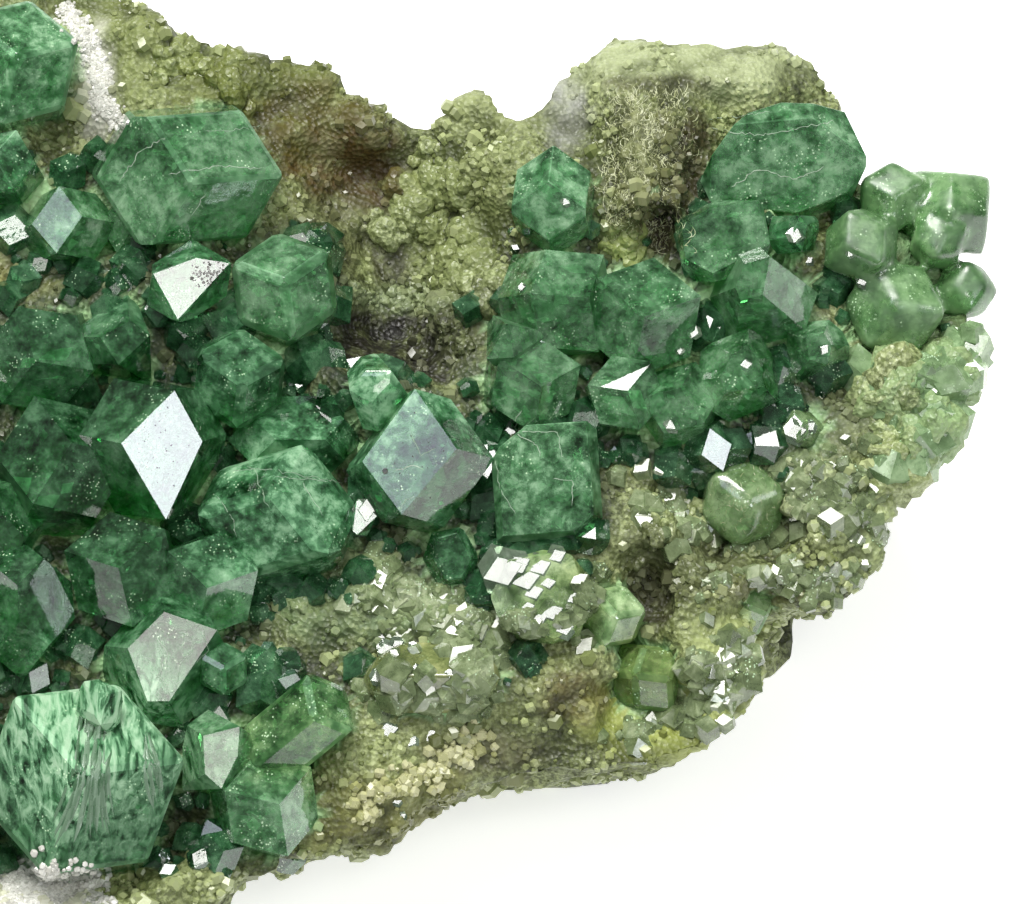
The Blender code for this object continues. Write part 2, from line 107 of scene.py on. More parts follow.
for name, (turns, away, size, radiance, colour) in PANELS.items():
    yaw, pitch = (math.radians(angle) for angle in turns)
    towards = (ACROSS * math.sin(yaw) * math.cos(pitch) + ALONG * math.sin(pitch)
               + OUT * math.cos(yaw) * math.cos(pitch))
    lamp = bpy.data.objects.new(name, bpy.data.lights.new(name, "AREA"))
    bpy.context.scene.collection.objects.link(lamp)
    width, height = (side * MM for side in size)
    lamp.data.shape, lamp.data.size, lamp.data.size_y = "RECTANGLE", width, height
    lamp.data.color = colour
    lamp.data.energy = radiance * math.pi * width * height
    lamp.location = PICTURE_MIDDLE + towards * away * MM
    lamp.rotation_euler = towards.to_track_quat("Z", "Y").to_euler()


# The table. A plain white surface, wide enough to fill every view, that glows a little like
# the lit plate under a specimen.
TABLE_SIZE = 3.0
TABLE_GLOW = 0.6
table_top = bpy.data.meshes.new("table")
table_top.from_pydata([(x * TABLE_SIZE, y * TABLE_SIZE, 0) for x, y in
                       ((-1, -1), (1, -1), (1, 1), (-1, 1))], [], [(0, 1, 2, 3)])
table = bpy.data.objects.new("table", table_top)
bpy.context.scene.collection.objects.link(table)
white = bpy.data.materials.new("table_white")
white.use_nodes = True
shader = white.node_tree.nodes["Principled BSDF"]
shader.inputs["Base Color"].default_value = (0.9, 0.9, 0.9, 1)
shader.inputs["Roughness"].default_value = 0.7
shader.inputs["Emission Color"].default_value = (1, 1, 1, 1)
shader.inputs["Emission Strength"].default_value = TABLE_GLOW
table_top.materials.append(white)


# The slab. Sugary garnet rock in one piece, broken off behind. Its skin is made finer here:
# grains, pits and ledges, and it closes up against every crystal that grew from it.
SKIN_STEP = 0.4
SKIN_LUMPS = [(5.0, 0.30), (2.2, 0.22), (0.9, 0.12)]
SKIN_GRAIN = 0.95
SKIN_GRAIN_RISE = 0.30
SIDE_LEDGES = 0.55
SIDE_BREAKS = [(8.0, 2.2), (3.2, 0.9)]
SIDE_FADES = (9.0, 15.0)
LEDGE_SPACING, LEDGE_WAVE, LEDGE_RISE = 3.5, 2.0, 0.35
# How far a knob, grain or broken lump reaches before its level falls below the skin
KNOB_REACH, GRAIN_REACH, BREAK_REACH = 0.42, 0.45, 0.38
STEEP = 0.6
# Where the rock is knobbly: across, along, half width, half height, spacing and rise
KNOBBLY = {
    "grape_knobs": (-3.2, 12.2, 4.0, 6.4, 2.0, 0.90),
    "column_wool": (7.6, 15.4, 3.0, 5.0, 0.9, 0.70),
    "upper_rim": (-22.0, 23.0, 6.0, 3.0, 2.4, 0.80),
    "right_sugar": (13.5, -2.0, 7.0, 5.0, 1.3, 0.70),
    "lower_sugar": (-6.0, -10.0, 9.0, 3.4, 1.4, 0.60),
    "foot": (7.0, -14.5, 7.0, 3.6, 2.2, 0.85),
    "olive_rim": (-8.0, -20.0, 8.0, 3.0, 1.2, 0.60),
    "right_rim": (23.5, 3.0, 3.0, 8.0, 2.4, 0.60),
    "top_block": (10.0, 21.0, 8.0, 2.4, 1.6, 0.35),
}
# Where the rock stands out or falls back: across, along, half width, half height and rise
SWELLS = {
    "upper_rim_left": (-19.4, 23.2, 3.6, 2.4, 0.8), "upper_rim_middle": (-12.4, 21.0, 4.4, 2.4, 0.6),
    "rusty_rim": (-7.6, 17.6, 3.0, 2.6, 1.3), "top_notch": (-1.8, 19.4, 2.6, 1.6, 0.4),
    "right_rim": (25.0, 5.1, 2.4, 3.8, 0.8), "right_rim_low": (23.6, 0.6, 2.6, 2.6, 0.8),
    "under_right_ledge": (15.6, -10.4, 2.8, 2.2, -2.2), "block_corner": (17.6, 19.0, 1.6, 2.0, 0.5),
    "brown_cavity": (8.0, 12.0, 1.3, 1.8, -1.0), "dark_hollow": (7.6, -8.0, 1.6, 2.0, -1.2),
    "pocket": (-7.4, 5.4, 4.0, 2.6, -0.9), "beside_column": (10.2, 14.2, 1.0, 3.6, -0.9),
}
KNOBBLY_FADES, SWELL_FADES, BASE_FADES = (0.7, 1.2), (0.2, 1.0), (0.1, 1.2)
CLOSE_FROM, CLOSE_TO = 0.42, 0.85
INTO_CRYSTAL = 0.12


def merged(node):
    """A bmesh of a solid with its loose triangles joined."""
    solid = bmesh.new()
    solid.from_mesh(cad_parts[node].data)
    bmesh.ops.remove_doubles(solid, verts=solid.verts, dist=0.002 * MM)
    return solid


def new_piece(name, mesh):
    piece = bpy.data.objects.new(name, mesh)
    bpy.context.scene.collection.objects.link(piece)
    return piece


def made_plain(piece):
    """Turn what the modifiers make into the piece's own mesh."""
    bpy.context.view_layer.update()
    seen = piece.evaluated_get(bpy.context.evaluated_depsgraph_get())
    mesh = bpy.data.meshes.new_from_object(seen)
    piece.modifiers.clear()
    piece.data = mesh
    return piece


def points_of(mesh):
    flat = np.zeros(len(mesh.vertices) * 3)
    mesh.vertices.foreach_get("co", flat)
    return flat.reshape(-1, 3)


def normals_of(mesh):
    flat = np.zeros(len(mesh.vertices) * 3)
    mesh.vertex_normals.foreach_get("vector", flat)
    return flat.reshape(-1, 3)


def smooth_step(value, low, high):
    share = np.clip((value - low) / (high - low), 0, 1)
    return share * share * (3 - 2 * share)


def oval(places, across, along, half_width, half_height):
    """How far each place is from an oval's middle, where its rim is 1."""
    return np.hypot((places[:, 0] - across) / half_width, (places[:, 1] - along) / half_height)


crystal_nodes = sorted(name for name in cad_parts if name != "slab")
all_crystals = bmesh.new()
for node in crystal_nodes:
    all_crystals.from_mesh(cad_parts[node].data)
crystal_tree = BVHTree.FromBMesh(all_crystals)
all_crystals.free()

slab_mesh = bpy.data.meshes.new("rock")
solid = merged("slab")
solid.to_mesh(slab_mesh)
solid.free()
rock = new_piece("rock", slab_mesh)
skin = rock.modifiers.new("skin", "REMESH")
skin.mode, skin.voxel_size = "VOXEL", SKIN_STEP * MM
made_plain(rock)

spots, normals = points_of(rock.data), normals_of(rock.data)
places = show_places(spots)
rise, swell = np.zeros(len(spots)), np.zeros(len(spots))
for *shape, spacing, height in KNOBBLY.values():
    away = oval(places, *shape)
    fade = 1 - smooth_step(away, *KNOBBLY_FADES)
    for i in np.flatnonzero(away < KNOBBLY_FADES[1]):
        knob = KNOB_REACH - noise.voronoi(Vector(spots[i] / MM) / spacing)[0][0]
        rise[i] += height * knob * fade[i]
for *shape, height in SWELLS.values():
    swell += height * (1 - smooth_step(oval(places, *shape), *SWELL_FADES))
for i, spot in enumerate(spots / MM):
    spot = Vector(spot)
    for spacing, height in SKIN_LUMPS:
        rise[i] += height * noise.noise(spot / spacing)
    rise[i] += SKIN_GRAIN_RISE * (GRAIN_REACH - noise.voronoi(spot / SKIN_GRAIN)[0][0])
    ledge = noise.noise(spot / LEDGE_SPACING) * LEDGE_WAVE + spot.z * LEDGE_RISE
    side = max(0.0, STEEP - abs(normals[i][2]))
    rise[i] += SIDE_LEDGES * (abs(ledge % 1.0 - 0.5) - 0.25) * side
    low = float(1 - smooth_step(spot.z, *SIDE_FADES))
    for spacing, height in SIDE_BREAKS:
        lump = BREAK_REACH - noise.voronoi(spot / spacing)[0][0]
        swell[i] += height * lump * side * low
off_base = smooth_step(spots[:, 2] / MM, *BASE_FADES)
spots += normals * ((rise + swell) * off_base * MM)[:, None]
spots[:, 2] = np.maximum(spots[:, 2], 0)
for i, spot in enumerate(spots):
    place, facing, _, distance = crystal_tree.find_nearest(Vector(spot), CLOSE_TO * MM)
    if place is None:
        continue
    if (Vector(spot) - place).dot(facing) < 0:
        distance = -distance
    pull = 1 - smooth_step(distance / MM, CLOSE_FROM, CLOSE_TO)
    target = place - facing * INTO_CRYSTAL * MM
    spots[i] += (np.array(target) - spot) * pull
rock.data.vertices.foreach_set("co", spots.ravel())
rock.data.update()

# Stains on the rock, and patches of painted shade and sheen, by name: across, along, half width,
# half height, colour and strength
ROCK_STAINS_AND_SHADE = {
    "upper_left_olive": (-21.0, 22.4, 6.0, 3.6, (0.20, 0.24, 0.075), 0.8),
    "upper_rim_olive": (-13.4, 20.2, 5.8, 2.8, (0.125, 0.15, 0.030), 0.9),
    "rusty_rim": (-11.0, 17.6, 4.8, 3.0, (0.080, 0.068, 0.008), 0.97),
    "rusty_hollow": (-8.6, 15.2, 3.8, 3.0, (0.075, 0.042, 0.008), 0.95),
    "behind_pocket": (-9.6, 12.2, 3.0, 2.4, (0.07, 0.075, 0.03), 0.8),
    # painted shade in the deep pocket
    "dark_pocket": (-6.8, 5.8, 5.8, 3.3, (0.012, 0.011, 0.005), 1.0),
    "dark_strip": (-6.6, 10.4, 1.4, 2.6, (0.03, 0.03, 0.012), 0.9),
    "pale_ledge": (-5.6, 8.4, 3.8, 1.0, (0.20, 0.25, 0.13), 0.8),
    "grape_knobs": (-3.2, 13.0, 3.4, 4.6, (0.20, 0.24, 0.085), 0.85),
    "sugar_right": (14.6, -2.4, 4.4, 2.8, (0.38, 0.44, 0.24), 0.75),
    # painted shade under the knobs
    "under_knobs": (-2.0, 7.0, 3.0, 2.6, (0.06, 0.07, 0.03), 0.8),
    "left_rust": (-27.5, 8.8, 2.4, 2.4, (0.16, 0.13, 0.025), 0.7),
    "white_crust": (-22.9, 20.5, 1.1, 3.6, (0.66, 0.66, 0.58), 1.0),
    "lavender_patch": (3.0, 18.6, 1.5, 2.6, (0.42, 0.43, 0.40), 0.8),
    "top_block": (10.2, 21.4, 8.4, 2.2, (0.41, 0.47, 0.25), 0.9),
    "top_left_pale": (-1.8, 18.6, 4.4, 1.8, (0.32, 0.37, 0.16), 0.8),
    # painted shade under the ledge of the top block
    "under_top_block": (8.0, 20.2, 3.4, 0.55, (0.07, 0.072, 0.026), 0.85),
    "wool_column": (7.6, 15.0, 3.0, 5.2, (0.115, 0.125, 0.036), 0.95),
    "wool_shine": (6.9, 16.6, 1.1, 2.8, (0.30, 0.33, 0.15), 0.7),
    "brown_cavity": (8.6, 12.0, 2.2, 2.0, (0.030, 0.020, 0.006), 1.0),
    "column_side": (10.1, 15.4, 1.2, 5.0, (0.045, 0.038, 0.011), 0.97),
    "round_grain": (6.1, 11.2, 1.5, 1.3, (0.27, 0.33, 0.10), 0.9),
    "right_rim": (23.6, 5.0, 3.0, 8.0, (0.27, 0.40, 0.18), 0.95),
    "right_ledge": (20.4, -3.6, 3.6, 3.4, (0.33, 0.40, 0.18), 0.8),
    "right_dark": (17.4, 2.5, 3.4, 3.4, (0.075, 0.10, 0.045), 0.8),
    "dark_spot": (9.9, -0.7, 1.2, 1.0, (0.02, 0.02, 0.04), 0.95),
    "middle_dark": (9.5, -5.9, 4.2, 2.4, (0.085, 0.10, 0.04), 0.8),
    # painted shade in the hollow below the middle
    "dark_hollow": (7.6, -8.0, 1.9, 2.1, (0.03, 0.03, 0.010), 0.95),
    "ledge_shadow": (14.0, -7.6, 3.4, 1.0, (0.10, 0.10, 0.035), 0.8),
    "lemon_foot": (8.0, -14.8, 5.4, 2.8, (0.30, 0.35, 0.075), 0.9),
    "foot_rust": (3.2, -13.4, 2.4, 1.8, (0.13, 0.10, 0.03), 0.7),
    "foot_edge": (11.6, -11.6, 2.6, 3.8, (0.38, 0.45, 0.17), 0.8),
    "grey_foot": (-1.6, -16.6, 4.0, 1.6, (0.13, 0.13, 0.06), 0.8),
    "olive_foot": (-7.0, -19.8, 6.0, 2.6, (0.16, 0.165, 0.04), 0.85),
    "sugar_below": (-8.0, -8.2, 6.5, 3.0, (0.15, 0.22, 0.10), 0.85),
    "white_foot": (-26.0, -24.4, 4.0, 1.8, (0.66, 0.66, 0.54), 0.95),
}
# The stains and the painted shade fade towards the underside, and their rims are soft and uneven
PATCH_FADES, PATCH_LEAST = (4.0, 10.0), 0.25
PATCH_RIM, PATCH_SPACING, PATCH_UNEVEN = (0.55, 1.15), 1.3, 0.35


def stain_and_shade_colours(places):
    """Each place's colour from the stains and the painted shade, and how strong it is."""
    tint = np.zeros((len(places), 4))
    height = PICTURE_MIDDLE.z / MM + places[:, 1] * ALONG.z + places[:, 2] * OUT.z
    fade = PATCH_LEAST + (1 - PATCH_LEAST) * smooth_step(height, *PATCH_FADES)
    uneven = np.array([noise.noise(Vector(place) / PATCH_SPACING) for place in places])
    uneven *= PATCH_UNEVEN
    for *shape, colour, strength in ROCK_STAINS_AND_SHADE.values():
        away = oval(places, *shape) + uneven
        amount = strength * fade * (1 - smooth_step(away, *PATCH_RIM))
        tint[:, :3] = tint[:, :3] * (1 - amount[:, None]) + np.array(colour) * amount[:, None]
        tint[:, 3] = np.maximum(tint[:, 3], amount)
    tint[:, :3] /= np.maximum(tint[:, 3], 0.001)[:, None]
    tint[:, :3] = np.minimum(tint[:, :3], 1)
    return tint


def store(mesh, name, values, domain="POINT"):
    """Keep a number or a colour for each point or face of a mesh."""
    values = np.asarray(values, np.float32)
    kind, field = ("FLOAT", "value") if values.ndim == 1 else ("FLOAT_COLOR", "color")
    attribute = mesh.attributes.get(name) or mesh.attributes.new(name, kind, domain)
    attribute.data.foreach_set(field, values.ravel())


SEAT_COLOUR = (0.40, 0.66, 0.32)
# The shadowy green painted as shade on the ground between crowded crystals
PAINTED_GAP_SHADE = (0.028, 0.050, 0.022)
GROUND_REACH = 2.2
CROWD_RIM, SOFT_RIM = (0.75, 1.1), (0.7, 1.1)
# Where the crystals stand so close that the ground between them is dark with painted shade
CROWDED = [(-22, -6, 14, 24, 1.0), (-24, 4, 8, 12, 1.0), (-4, -1, 11, 8, 1.0),
           (8, 6, 10, 9, 1.0), (-12, 7, 9, 6, 0.9), (-36, 0, 16, 24, 0.7), (22, 11, 5, 6, 0.5),
           (0.6, -12.4, 1.6, 1.6, 0.6)]
# Where no young crystals grew: across, along, half width and half height
BARE = [(-5.6, 6.8, 4.6, 3.0), (7.4, 14.2, 3.2, 4.0), (-24.0, -24.8, 9.0, 2.6)]
crowd = np.zeros(len(spots))
places = show_places(spots)
for *shape, amount in CROWDED:
    crowd = np.maximum(crowd, amount * (1 - smooth_step(oval(places, *shape), *CROWD_RIM)))
for shape in BARE:
    crowd *= smooth_step(oval(places, *shape), *SOFT_RIM)
rock_tint = stain_and_shade_colours(places)
# How far each point of the skin is from the nearest crystal, less than nothing inside one
to_crystal = np.full(len(spots), 9.0)
for i, spot in enumerate(spots):
    place, facing, _, distance = crystal_tree.find_nearest(Vector(spot), GROUND_REACH * MM)
    if place is not None:
        to_crystal[i] = math.copysign(distance / MM, (Vector(spot) - place).dot(facing))
near_crystal = 1 - smooth_step(to_crystal, 0.8, GROUND_REACH)
# Painted shade: near the crystals in the crowded places the rock is darkened to that shadowy green
gap_shade = (crowd * near_crystal * 0.96)[:, None]
rock_tint[:, :3] = rock_tint[:, :3] * (1 - gap_shade) + np.array(PAINTED_GAP_SHADE) * gap_shade
rock_tint[:, 3] = np.maximum(rock_tint[:, 3], gap_shade[:, 0])
rock_tint[to_crystal < 0.05] = (*SEAT_COLOUR, 1.0)
store(rock.data, "stain_and_shade", rock_tint)
# Painted shade on the low places of the skin, and painted light on its crests
store(rock.data, "hollow", 1 - smooth_step(rise, -0.38, 0.12))
store(rock.data, "crest", smooth_step(rise, 0.10, 0.45))


def wire(tree, node, inputs):
    """Link each of a node's inputs to a socket, or set it to a value."""
    for name, value in inputs.items():
        socket = node.inputs[name]
        if isinstance(value, bpy.types.NodeSocket):
            tree.links.new(value, socket)
        else:
            socket.default_value = (*value, 1) if socket.type == "RGBA" else value
    return node


def node_of(tree, kind, inputs=(), **settings):
    made = tree.nodes.new(kind)
    for key, value in settings.items():
        setattr(made, key, value)
    return wire(tree, made, dict(inputs))


def lumps(tree, place, scale, detail=3.0, rough=0.6, twist=0.0):
    """Noise with the given number of lumps per metre."""
    return node_of(tree, "ShaderNodeTexNoise", {
        "Vector": place, "Scale": scale, "Detail": detail, "Roughness": rough,
        "Distortion": twist}).outputs["Fac"]


def cells(tree, place, scale):
    """How far each place is from the middle of its cell."""
    return node_of(tree, "ShaderNodeTexVoronoi",
                   {"Vector": place, "Scale": scale}).outputs["Distance"]


def own(tree, name, output="Fac"):
    """What a mesh stores under a name."""
    return node_of(tree, "ShaderNodeAttribute", attribute_name=name).outputs[output]


def maths(tree, operation, *values, clamp=False):
    return node_of(tree, "ShaderNodeMath", dict(enumerate(values)), operation=operation,
                   use_clamp=clamp).outputs["Value"]


def mixed(tree, factor, low, high, mode="MIX"):
    """A colour between low and high. Each may be a colour or a socket."""
    return node_of(tree, "ShaderNodeMix", {"Factor": factor, "A": low, "B": high},
                   data_type="RGBA", blend_type=mode).outputs["Result"]


def shaded(tree, factor, colour, shade):
    """A colour, multiplied by a shade as far as the factor says."""
    return mixed(tree, factor, colour, mixed(tree, 1.0, colour, shade, "MULTIPLY"))


def spread(tree, value, low, high, to_low=0.0, to_high=1.0):
    """The share of the way that a value lies from low to high, kept between the ends."""
    return node_of(tree, "ShaderNodeMapRange", {
        "Value": value, "From Min": low, "From Max": high, "To Min": to_low,
        "To Max": to_high}, clamp=True).outputs["Result"]


def new_material(name):
    """A material, its nodes, its shader, and the place on the object."""
    material = bpy.data.materials.new(name)
    material.use_nodes = True
    tree = material.node_tree
    place = node_of(tree, "ShaderNodeTexCoord").outputs["Object"]
    return material, tree, tree.nodes["Principled BSDF"], place


# The painted shade for the hollows, also used to darken the veins, and the painted light for the
# crests
PAINTED_SHADE_AND_VEIN_TINT = (0.20, 0.22, 0.13)
PAINTED_CREST_LIGHT = (0.86, 0.92, 0.52)


def rock_material(name, dark, middle, pale, roughness, bump):
    """Granular garnet: three greens in patches, the stains, painted shade in the hollows, painted
    light on the crests, and a sugary relief.
    """
    material, tree, shader, place = new_material(name)
    patches = spread(tree, lumps(tree, place, 260, 4), 0.36, 0.62)
    speckle = spread(tree, lumps(tree, place, 2600, 4, 0.7), 0.44, 0.62)
    colour = mixed(tree, speckle, mixed(tree, patches, dark, middle), pale)
    uneven = spread(tree, lumps(tree, place, 900, 4), 0.30, 0.55, 0.55, 1.0)
    amount = maths(tree, "MULTIPLY", own(tree, "stain_and_shade", "Alpha"), uneven)
    colour = mixed(tree, amount, colour, own(tree, "stain_and_shade", "Color"))
    # Painted shade: the low places are darkened, and next the crests are lightened as painted light
    deep = spread(tree, own(tree, "hollow"), 0.1, 1.0, 0.0, 0.88)
    colour = shaded(tree, deep, colour, PAINTED_SHADE_AND_VEIN_TINT)
    colour = mixed(tree, spread(tree, own(tree, "crest"), 0.0, 1.0, 0.0, 0.30), colour,
                   mixed(tree, 0.6, colour, PAINTED_CREST_LIGHT))
    veined = spread(tree, lumps(tree, place, 420, 6, 0.7, 2.0), 0.56, 0.70, 0.0, 0.65)
    colour = shaded(tree, veined, colour, PAINTED_SHADE_AND_VEIN_TINT)
    rough = spread(tree, lumps(tree, place, 2200, 2), 0.35, 0.65,
                   roughness - 0.15, roughness + 0.15)
    relief = node_of(tree, "ShaderNodeBump", {
        "Strength": bump, "Distance": 0.15 * MM, "Height": cells(tree, place, 3400)})
    wire(tree, shader, {"Base Color": colour, "Roughness": rough, "IOR": 1.5,
                        "Normal": relief.outputs["Normal"]})
    return material


rock_finish = rock_material("garnet_rock", (0.060, 0.075, 0.018), (0.155, 0.19, 0.060),
                            (0.36, 0.42, 0.18), 0.50, 0.9)
rock.data.materials.append(rock_finish)
rock.data.polygons.foreach_set("use_smooth", [True] * len(rock.data.polygons))
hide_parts("slab")
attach(rock, "root")


# The grains. Small milky garnets that stand on the rock's skin all over like coarse sugar. Each is a
# twelve-sided crystal, half sunk in, that carries the stain and the painted shade of the rock below.
GRAIN_DEEP, GRAIN_PALE = (0.14, 0.175, 0.05), (0.44, 0.50, 0.24)
# Each size of grain: how many on a square metre, the least and the greatest, and its seed
GRAINS = {
    "fine_grains": (3.0e6, (0.08, 0.18), 3), "small_grains": (2.0e6, (0.12, 0.27), 5),
    "middle_grains": (4.0e5, (0.22, 0.40), 11), "coarse_grains": (5.0e4, (0.36, 0.66), 23),
}
# Where the rock is smoother, with fewer grains on it: across, along, half width, half height
SMOOTHER = [(10.2, 21.2, 8.0, 2.4, 0.7), (-12.0, 18.5, 9.0, 4.5, 0.75), (23.6, 4.0, 3.4, 8.0, 0.7),
            (7.0, -14.5, 7.0, 3.6, 0.6), (-21.0, 22.0, 6.0, 4.0, 0.6), (-8.0, 5.4, 4.5, 3.4, 0.8),
            (3.0, 18.6, 1.8, 2.8, 0.8)]
GRAIN_FREE = (0.15, 0.45)

free = smooth_step(to_crystal, *GRAIN_FREE)
upwards = normals_of(rock.data) @ np.array(OUT)
upper = smooth_step(upwards, -0.2, 0.25) * 0.85 + 0.15
underside = smooth_step(spots[:, 2] / MM, 1.0, 3.0)
patchy = np.array([noise.noise(Vector(spot) / 3.2) + 0.6 * noise.noise(Vector(spot) / 1.3)
                   for spot in spots / MM])
patchy = 0.08 + 0.92 * smooth_step(patchy, -0.25, 0.45)
for *shape, amount in SMOOTHER:
    patchy *= 1 - amount * (1 - smooth_step(oval(places, *shape), *SOFT_RIM))
store(rock.data, "seed_bed", free * upper * underside * patchy)


def dodecahedron():
    """A garnet grain of size 1 from its middle to a face."""
    solid = bmesh.new()
    reach = math.sqrt(2) / 2
    for corner in [(x, y, z) for x in (-1, 1) for y in (-1, 1) for z in (-1, 1)]:
        solid.verts.new(Vector(corner) * reach)
    for axis in range(3):
        for side in (-1, 1):
            tip = Vector((0, 0, 0))
            tip[axis] = 2 * side * reach
            solid.verts.new(tip)
    bmesh.ops.convex_hull(solid, input=solid.verts)
    bmesh.ops.dissolve_limit(solid, angle_limit=0.02, verts=solid.verts, edges=solid.edges)
    mesh = bpy.data.meshes.new("grain")
    solid.to_mesh(mesh)
    solid.free()
    return mesh


def scatter_tree(name, material):
    """Geometry nodes that strew a grain over a skin, by its seed_bed attribute."""
    tree = bpy.data.node_groups.new(name, "GeometryNodeTree")
    for label, kind in (("Geometry", "Geometry"), ("Grain", "Object"),
                        ("Per Square Metre", "Float"), ("Smallest", "Float"),
                        ("Largest", "Float"), ("Seed", "Int")):
        tree.interface.new_socket(label, in_out="INPUT", socket_type="NodeSocket" + kind)
    tree.interface.new_socket("Geometry", in_out="OUTPUT", socket_type="NodeSocketGeometry")
    given = tree.nodes.new("NodeGroupInput").outputs
    bed = node_of(tree, "GeometryNodeInputNamedAttribute", {"Name": "seed_bed"},
                  data_type="FLOAT").outputs["Attribute"]
    strewn = node_of(tree, "GeometryNodeDistributePointsOnFaces", {
        "Mesh": given["Geometry"], "Seed": given["Seed"],
        "Density": maths(tree, "MULTIPLY", given["Per Square Metre"], bed)},
        distribute_method="RANDOM")
    grain = node_of(tree, "GeometryNodeObjectInfo", {"Object": given["Grain"]})
    size = node_of(tree, "FunctionNodeRandomValue", {
        2: given["Smallest"], 3: given["Largest"], "Seed": given["Seed"]}, data_type="FLOAT")
    turn = node_of(tree, "FunctionNodeRandomValue", {
        0: (0, 0, 0), 1: (6.28, 6.28, 6.28), "Seed": given["Seed"]}, data_type="FLOAT_VECTOR")
    planted = node_of(tree, "GeometryNodeInstanceOnPoints", {
        "Points": strewn.outputs["Points"], "Instance": grain.outputs["Geometry"],
        "Rotation": turn.outputs[0], "Scale": size.outputs[1]})
    shade = node_of(tree, "FunctionNodeRandomValue", {
        2: 0.0, 3: 1.0, "Seed": given["Seed"]}, data_type="FLOAT")
    stored = node_of(tree, "GeometryNodeStoreNamedAttribute", {
        "Geometry": planted.outputs["Instances"], "Name": "shade", "Value": shade.outputs[1]},
        data_type="FLOAT", domain="INSTANCE")
    real = node_of(tree, "GeometryNodeRealizeInstances",
                   {"Geometry": stored.outputs["Geometry"]})
    finish = node_of(tree, "GeometryNodeSetMaterial", {
        "Geometry": real.outputs["Geometry"], "Material": material})
    node_of(tree, "NodeGroupOutput", {"Geometry": finish.outputs["Geometry"]})
    return tree


def strew(name, tree, many, sizes, seed):
    """A new plain mesh of garnets on a copy of the rock's skin."""
    values = {"Grain": grain_shape, "Per Square Metre": many, "Smallest": sizes[0] * MM,
              "Largest": sizes[1] * MM, "Seed": seed}
    piece = new_piece(name, rock.data.copy())
    modifier = piece.modifiers.new("strew", "NODES")
    modifier.node_group = tree
    for item in tree.interface.items_tree:
        if item.in_out == "INPUT" and item.name in values:
            modifier[item.identifier] = values[item.name]
    return made_plain(piece)


def grain_material(name, deep, pale, clear=0.0):
    """Milky to clear small garnets, each of its own tone, with the stains and the painted shade of
    the rock below.
    """
    material, tree, shader, place = new_material(name)
    shade, stain_and_shade = own(tree, "shade"), own(tree, "stain_and_shade", "Color")
    dim = mixed(tree, 1.0, stain_and_shade, (0.55, 0.55, 0.50), "MULTIPLY")
    lit = mixed(tree, 0.10, stain_and_shade, (0.9, 0.95, 0.6))
    amount = maths(tree, "MULTIPLY", own(tree, "stain_and_shade", "Alpha"), 0.95)
    colour = mixed(tree, amount, mixed(tree, shade, deep, pale), mixed(tree, shade, dim, lit))
    rough = spread(tree, lumps(tree, place, 1200, 2), 0.35, 0.65, 0.08, 0.42)
    wire(tree, shader, {"Base Color": colour, "Roughness": rough, "IOR": 1.55,
                        "Transmission Weight": clear})
    return material


garnet = dodecahedron()
garnet_corners = points_of(garnet)
garnet_faces = [tuple(face.vertices) for face in garnet.polygons]
grain_shape = new_piece("grain_shape", garnet)
grain_tree = scatter_tree("strewn_grains", grain_material("garnet_grains", GRAIN_DEEP, GRAIN_PALE))
for name, values in GRAINS.items():
    grains = strew(name, grain_tree, *values)
    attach(grains, "root")


# The crystals. Demantoid garnets, dark to mid green and clear, each with the mottled depth
# and the narrow worn edges of the real ones. A group that grew together is one piece.
EDGE_WEAR = 0.05
# Crystals whose edges are dissolved round, and how much
ROUNDED = {"right_edge_druse": 10, "rounded_crystal": 8, "pale_lump": 8}
ROUNDED_STEP = 0.2
CRYSTALS = {
    "corner_crystal": "green", "large_top_crystal": "green", "left_upper_crystal": "dark",
    "warm_mirror_crystal": "dark", "pocket_side_crystal": "green", "large_cluster": "dark",
    "violet_face_crystals": "dark", "slate_crystal": "dark", "block_crystal": "green",
    "stepped_mirror_crystal": "pale", "hollow_side_crystal": "pale", "tall_crystal": "green",
    "middle_druse": "green", "right_druse": "green", "white_glint_crystal": "dark",
    "right_edge_druse": "rim", "large_right_crystal": "green", "white_face_crystals": "green",
    "rounded_crystal": "sugar", "pale_block": "pale", "pale_block_right": "pale",
    "pale_lump": "pale", "white_shard": "pale", "left_cluster": "green",
    "outer_left_crystal": "green", "left_middle_crystal": "dark", "lower_left_cluster": "green",
    "left_tip_crystal": "green", "lower_left_crystal": "dark", "lowest_left_crystal": "green",
}
# Each green in the dark, the body and the bright parts, the colour and density of its depth,
# how clear it is at most and at least, and its roughness
GREENS = {
    "dark": ((0.018, 0.12, 0.035), (0.20, 0.56, 0.26), (0.56, 0.86, 0.56),
             (0.30, 0.78, 0.42), 300.0, 0.97, 0.35, 0.03),
    "green": ((0.06, 0.28, 0.09), (0.28, 0.62, 0.31), (0.60, 0.84, 0.57),
              (0.34, 0.82, 0.45), 210.0, 0.96, 0.25, 0.03),
    "pale": ((0.16, 0.34, 0.10), (0.44, 0.68, 0.30), (0.74, 0.90, 0.54),
             (0.52, 0.84, 0.42), 160.0, 0.80, 0.15, 0.16),
    "rim": ((0.07, 0.20, 0.06), (0.17, 0.36, 0.13), (0.34, 0.56, 0.26),
            (0.45, 0.82, 0.45), 230.0, 0.62, 0.15, 0.42),
    "mint": ((0.15, 0.28, 0.10), (0.32, 0.50, 0.24), (0.54, 0.72, 0.42),
             (0.50, 0.82, 0.50), 180.0, 0.50, 0.10, 0.28),
    # the young crystals' green is darkened as painted shade for the gaps they fill
    "young": ((0.012, 0.08, 0.022), (0.10, 0.32, 0.14), (0.40, 0.70, 0.40),
              (0.30, 0.78, 0.42), 300.0, 0.80, 0.35, 0.03),
    "sugar": ((0.13, 0.19, 0.075), (0.32, 0.41, 0.20), (0.62, 0.68, 0.46),
              (0.62, 0.78, 0.45), 150.0, 0.50, 0.10, 0.16),
}
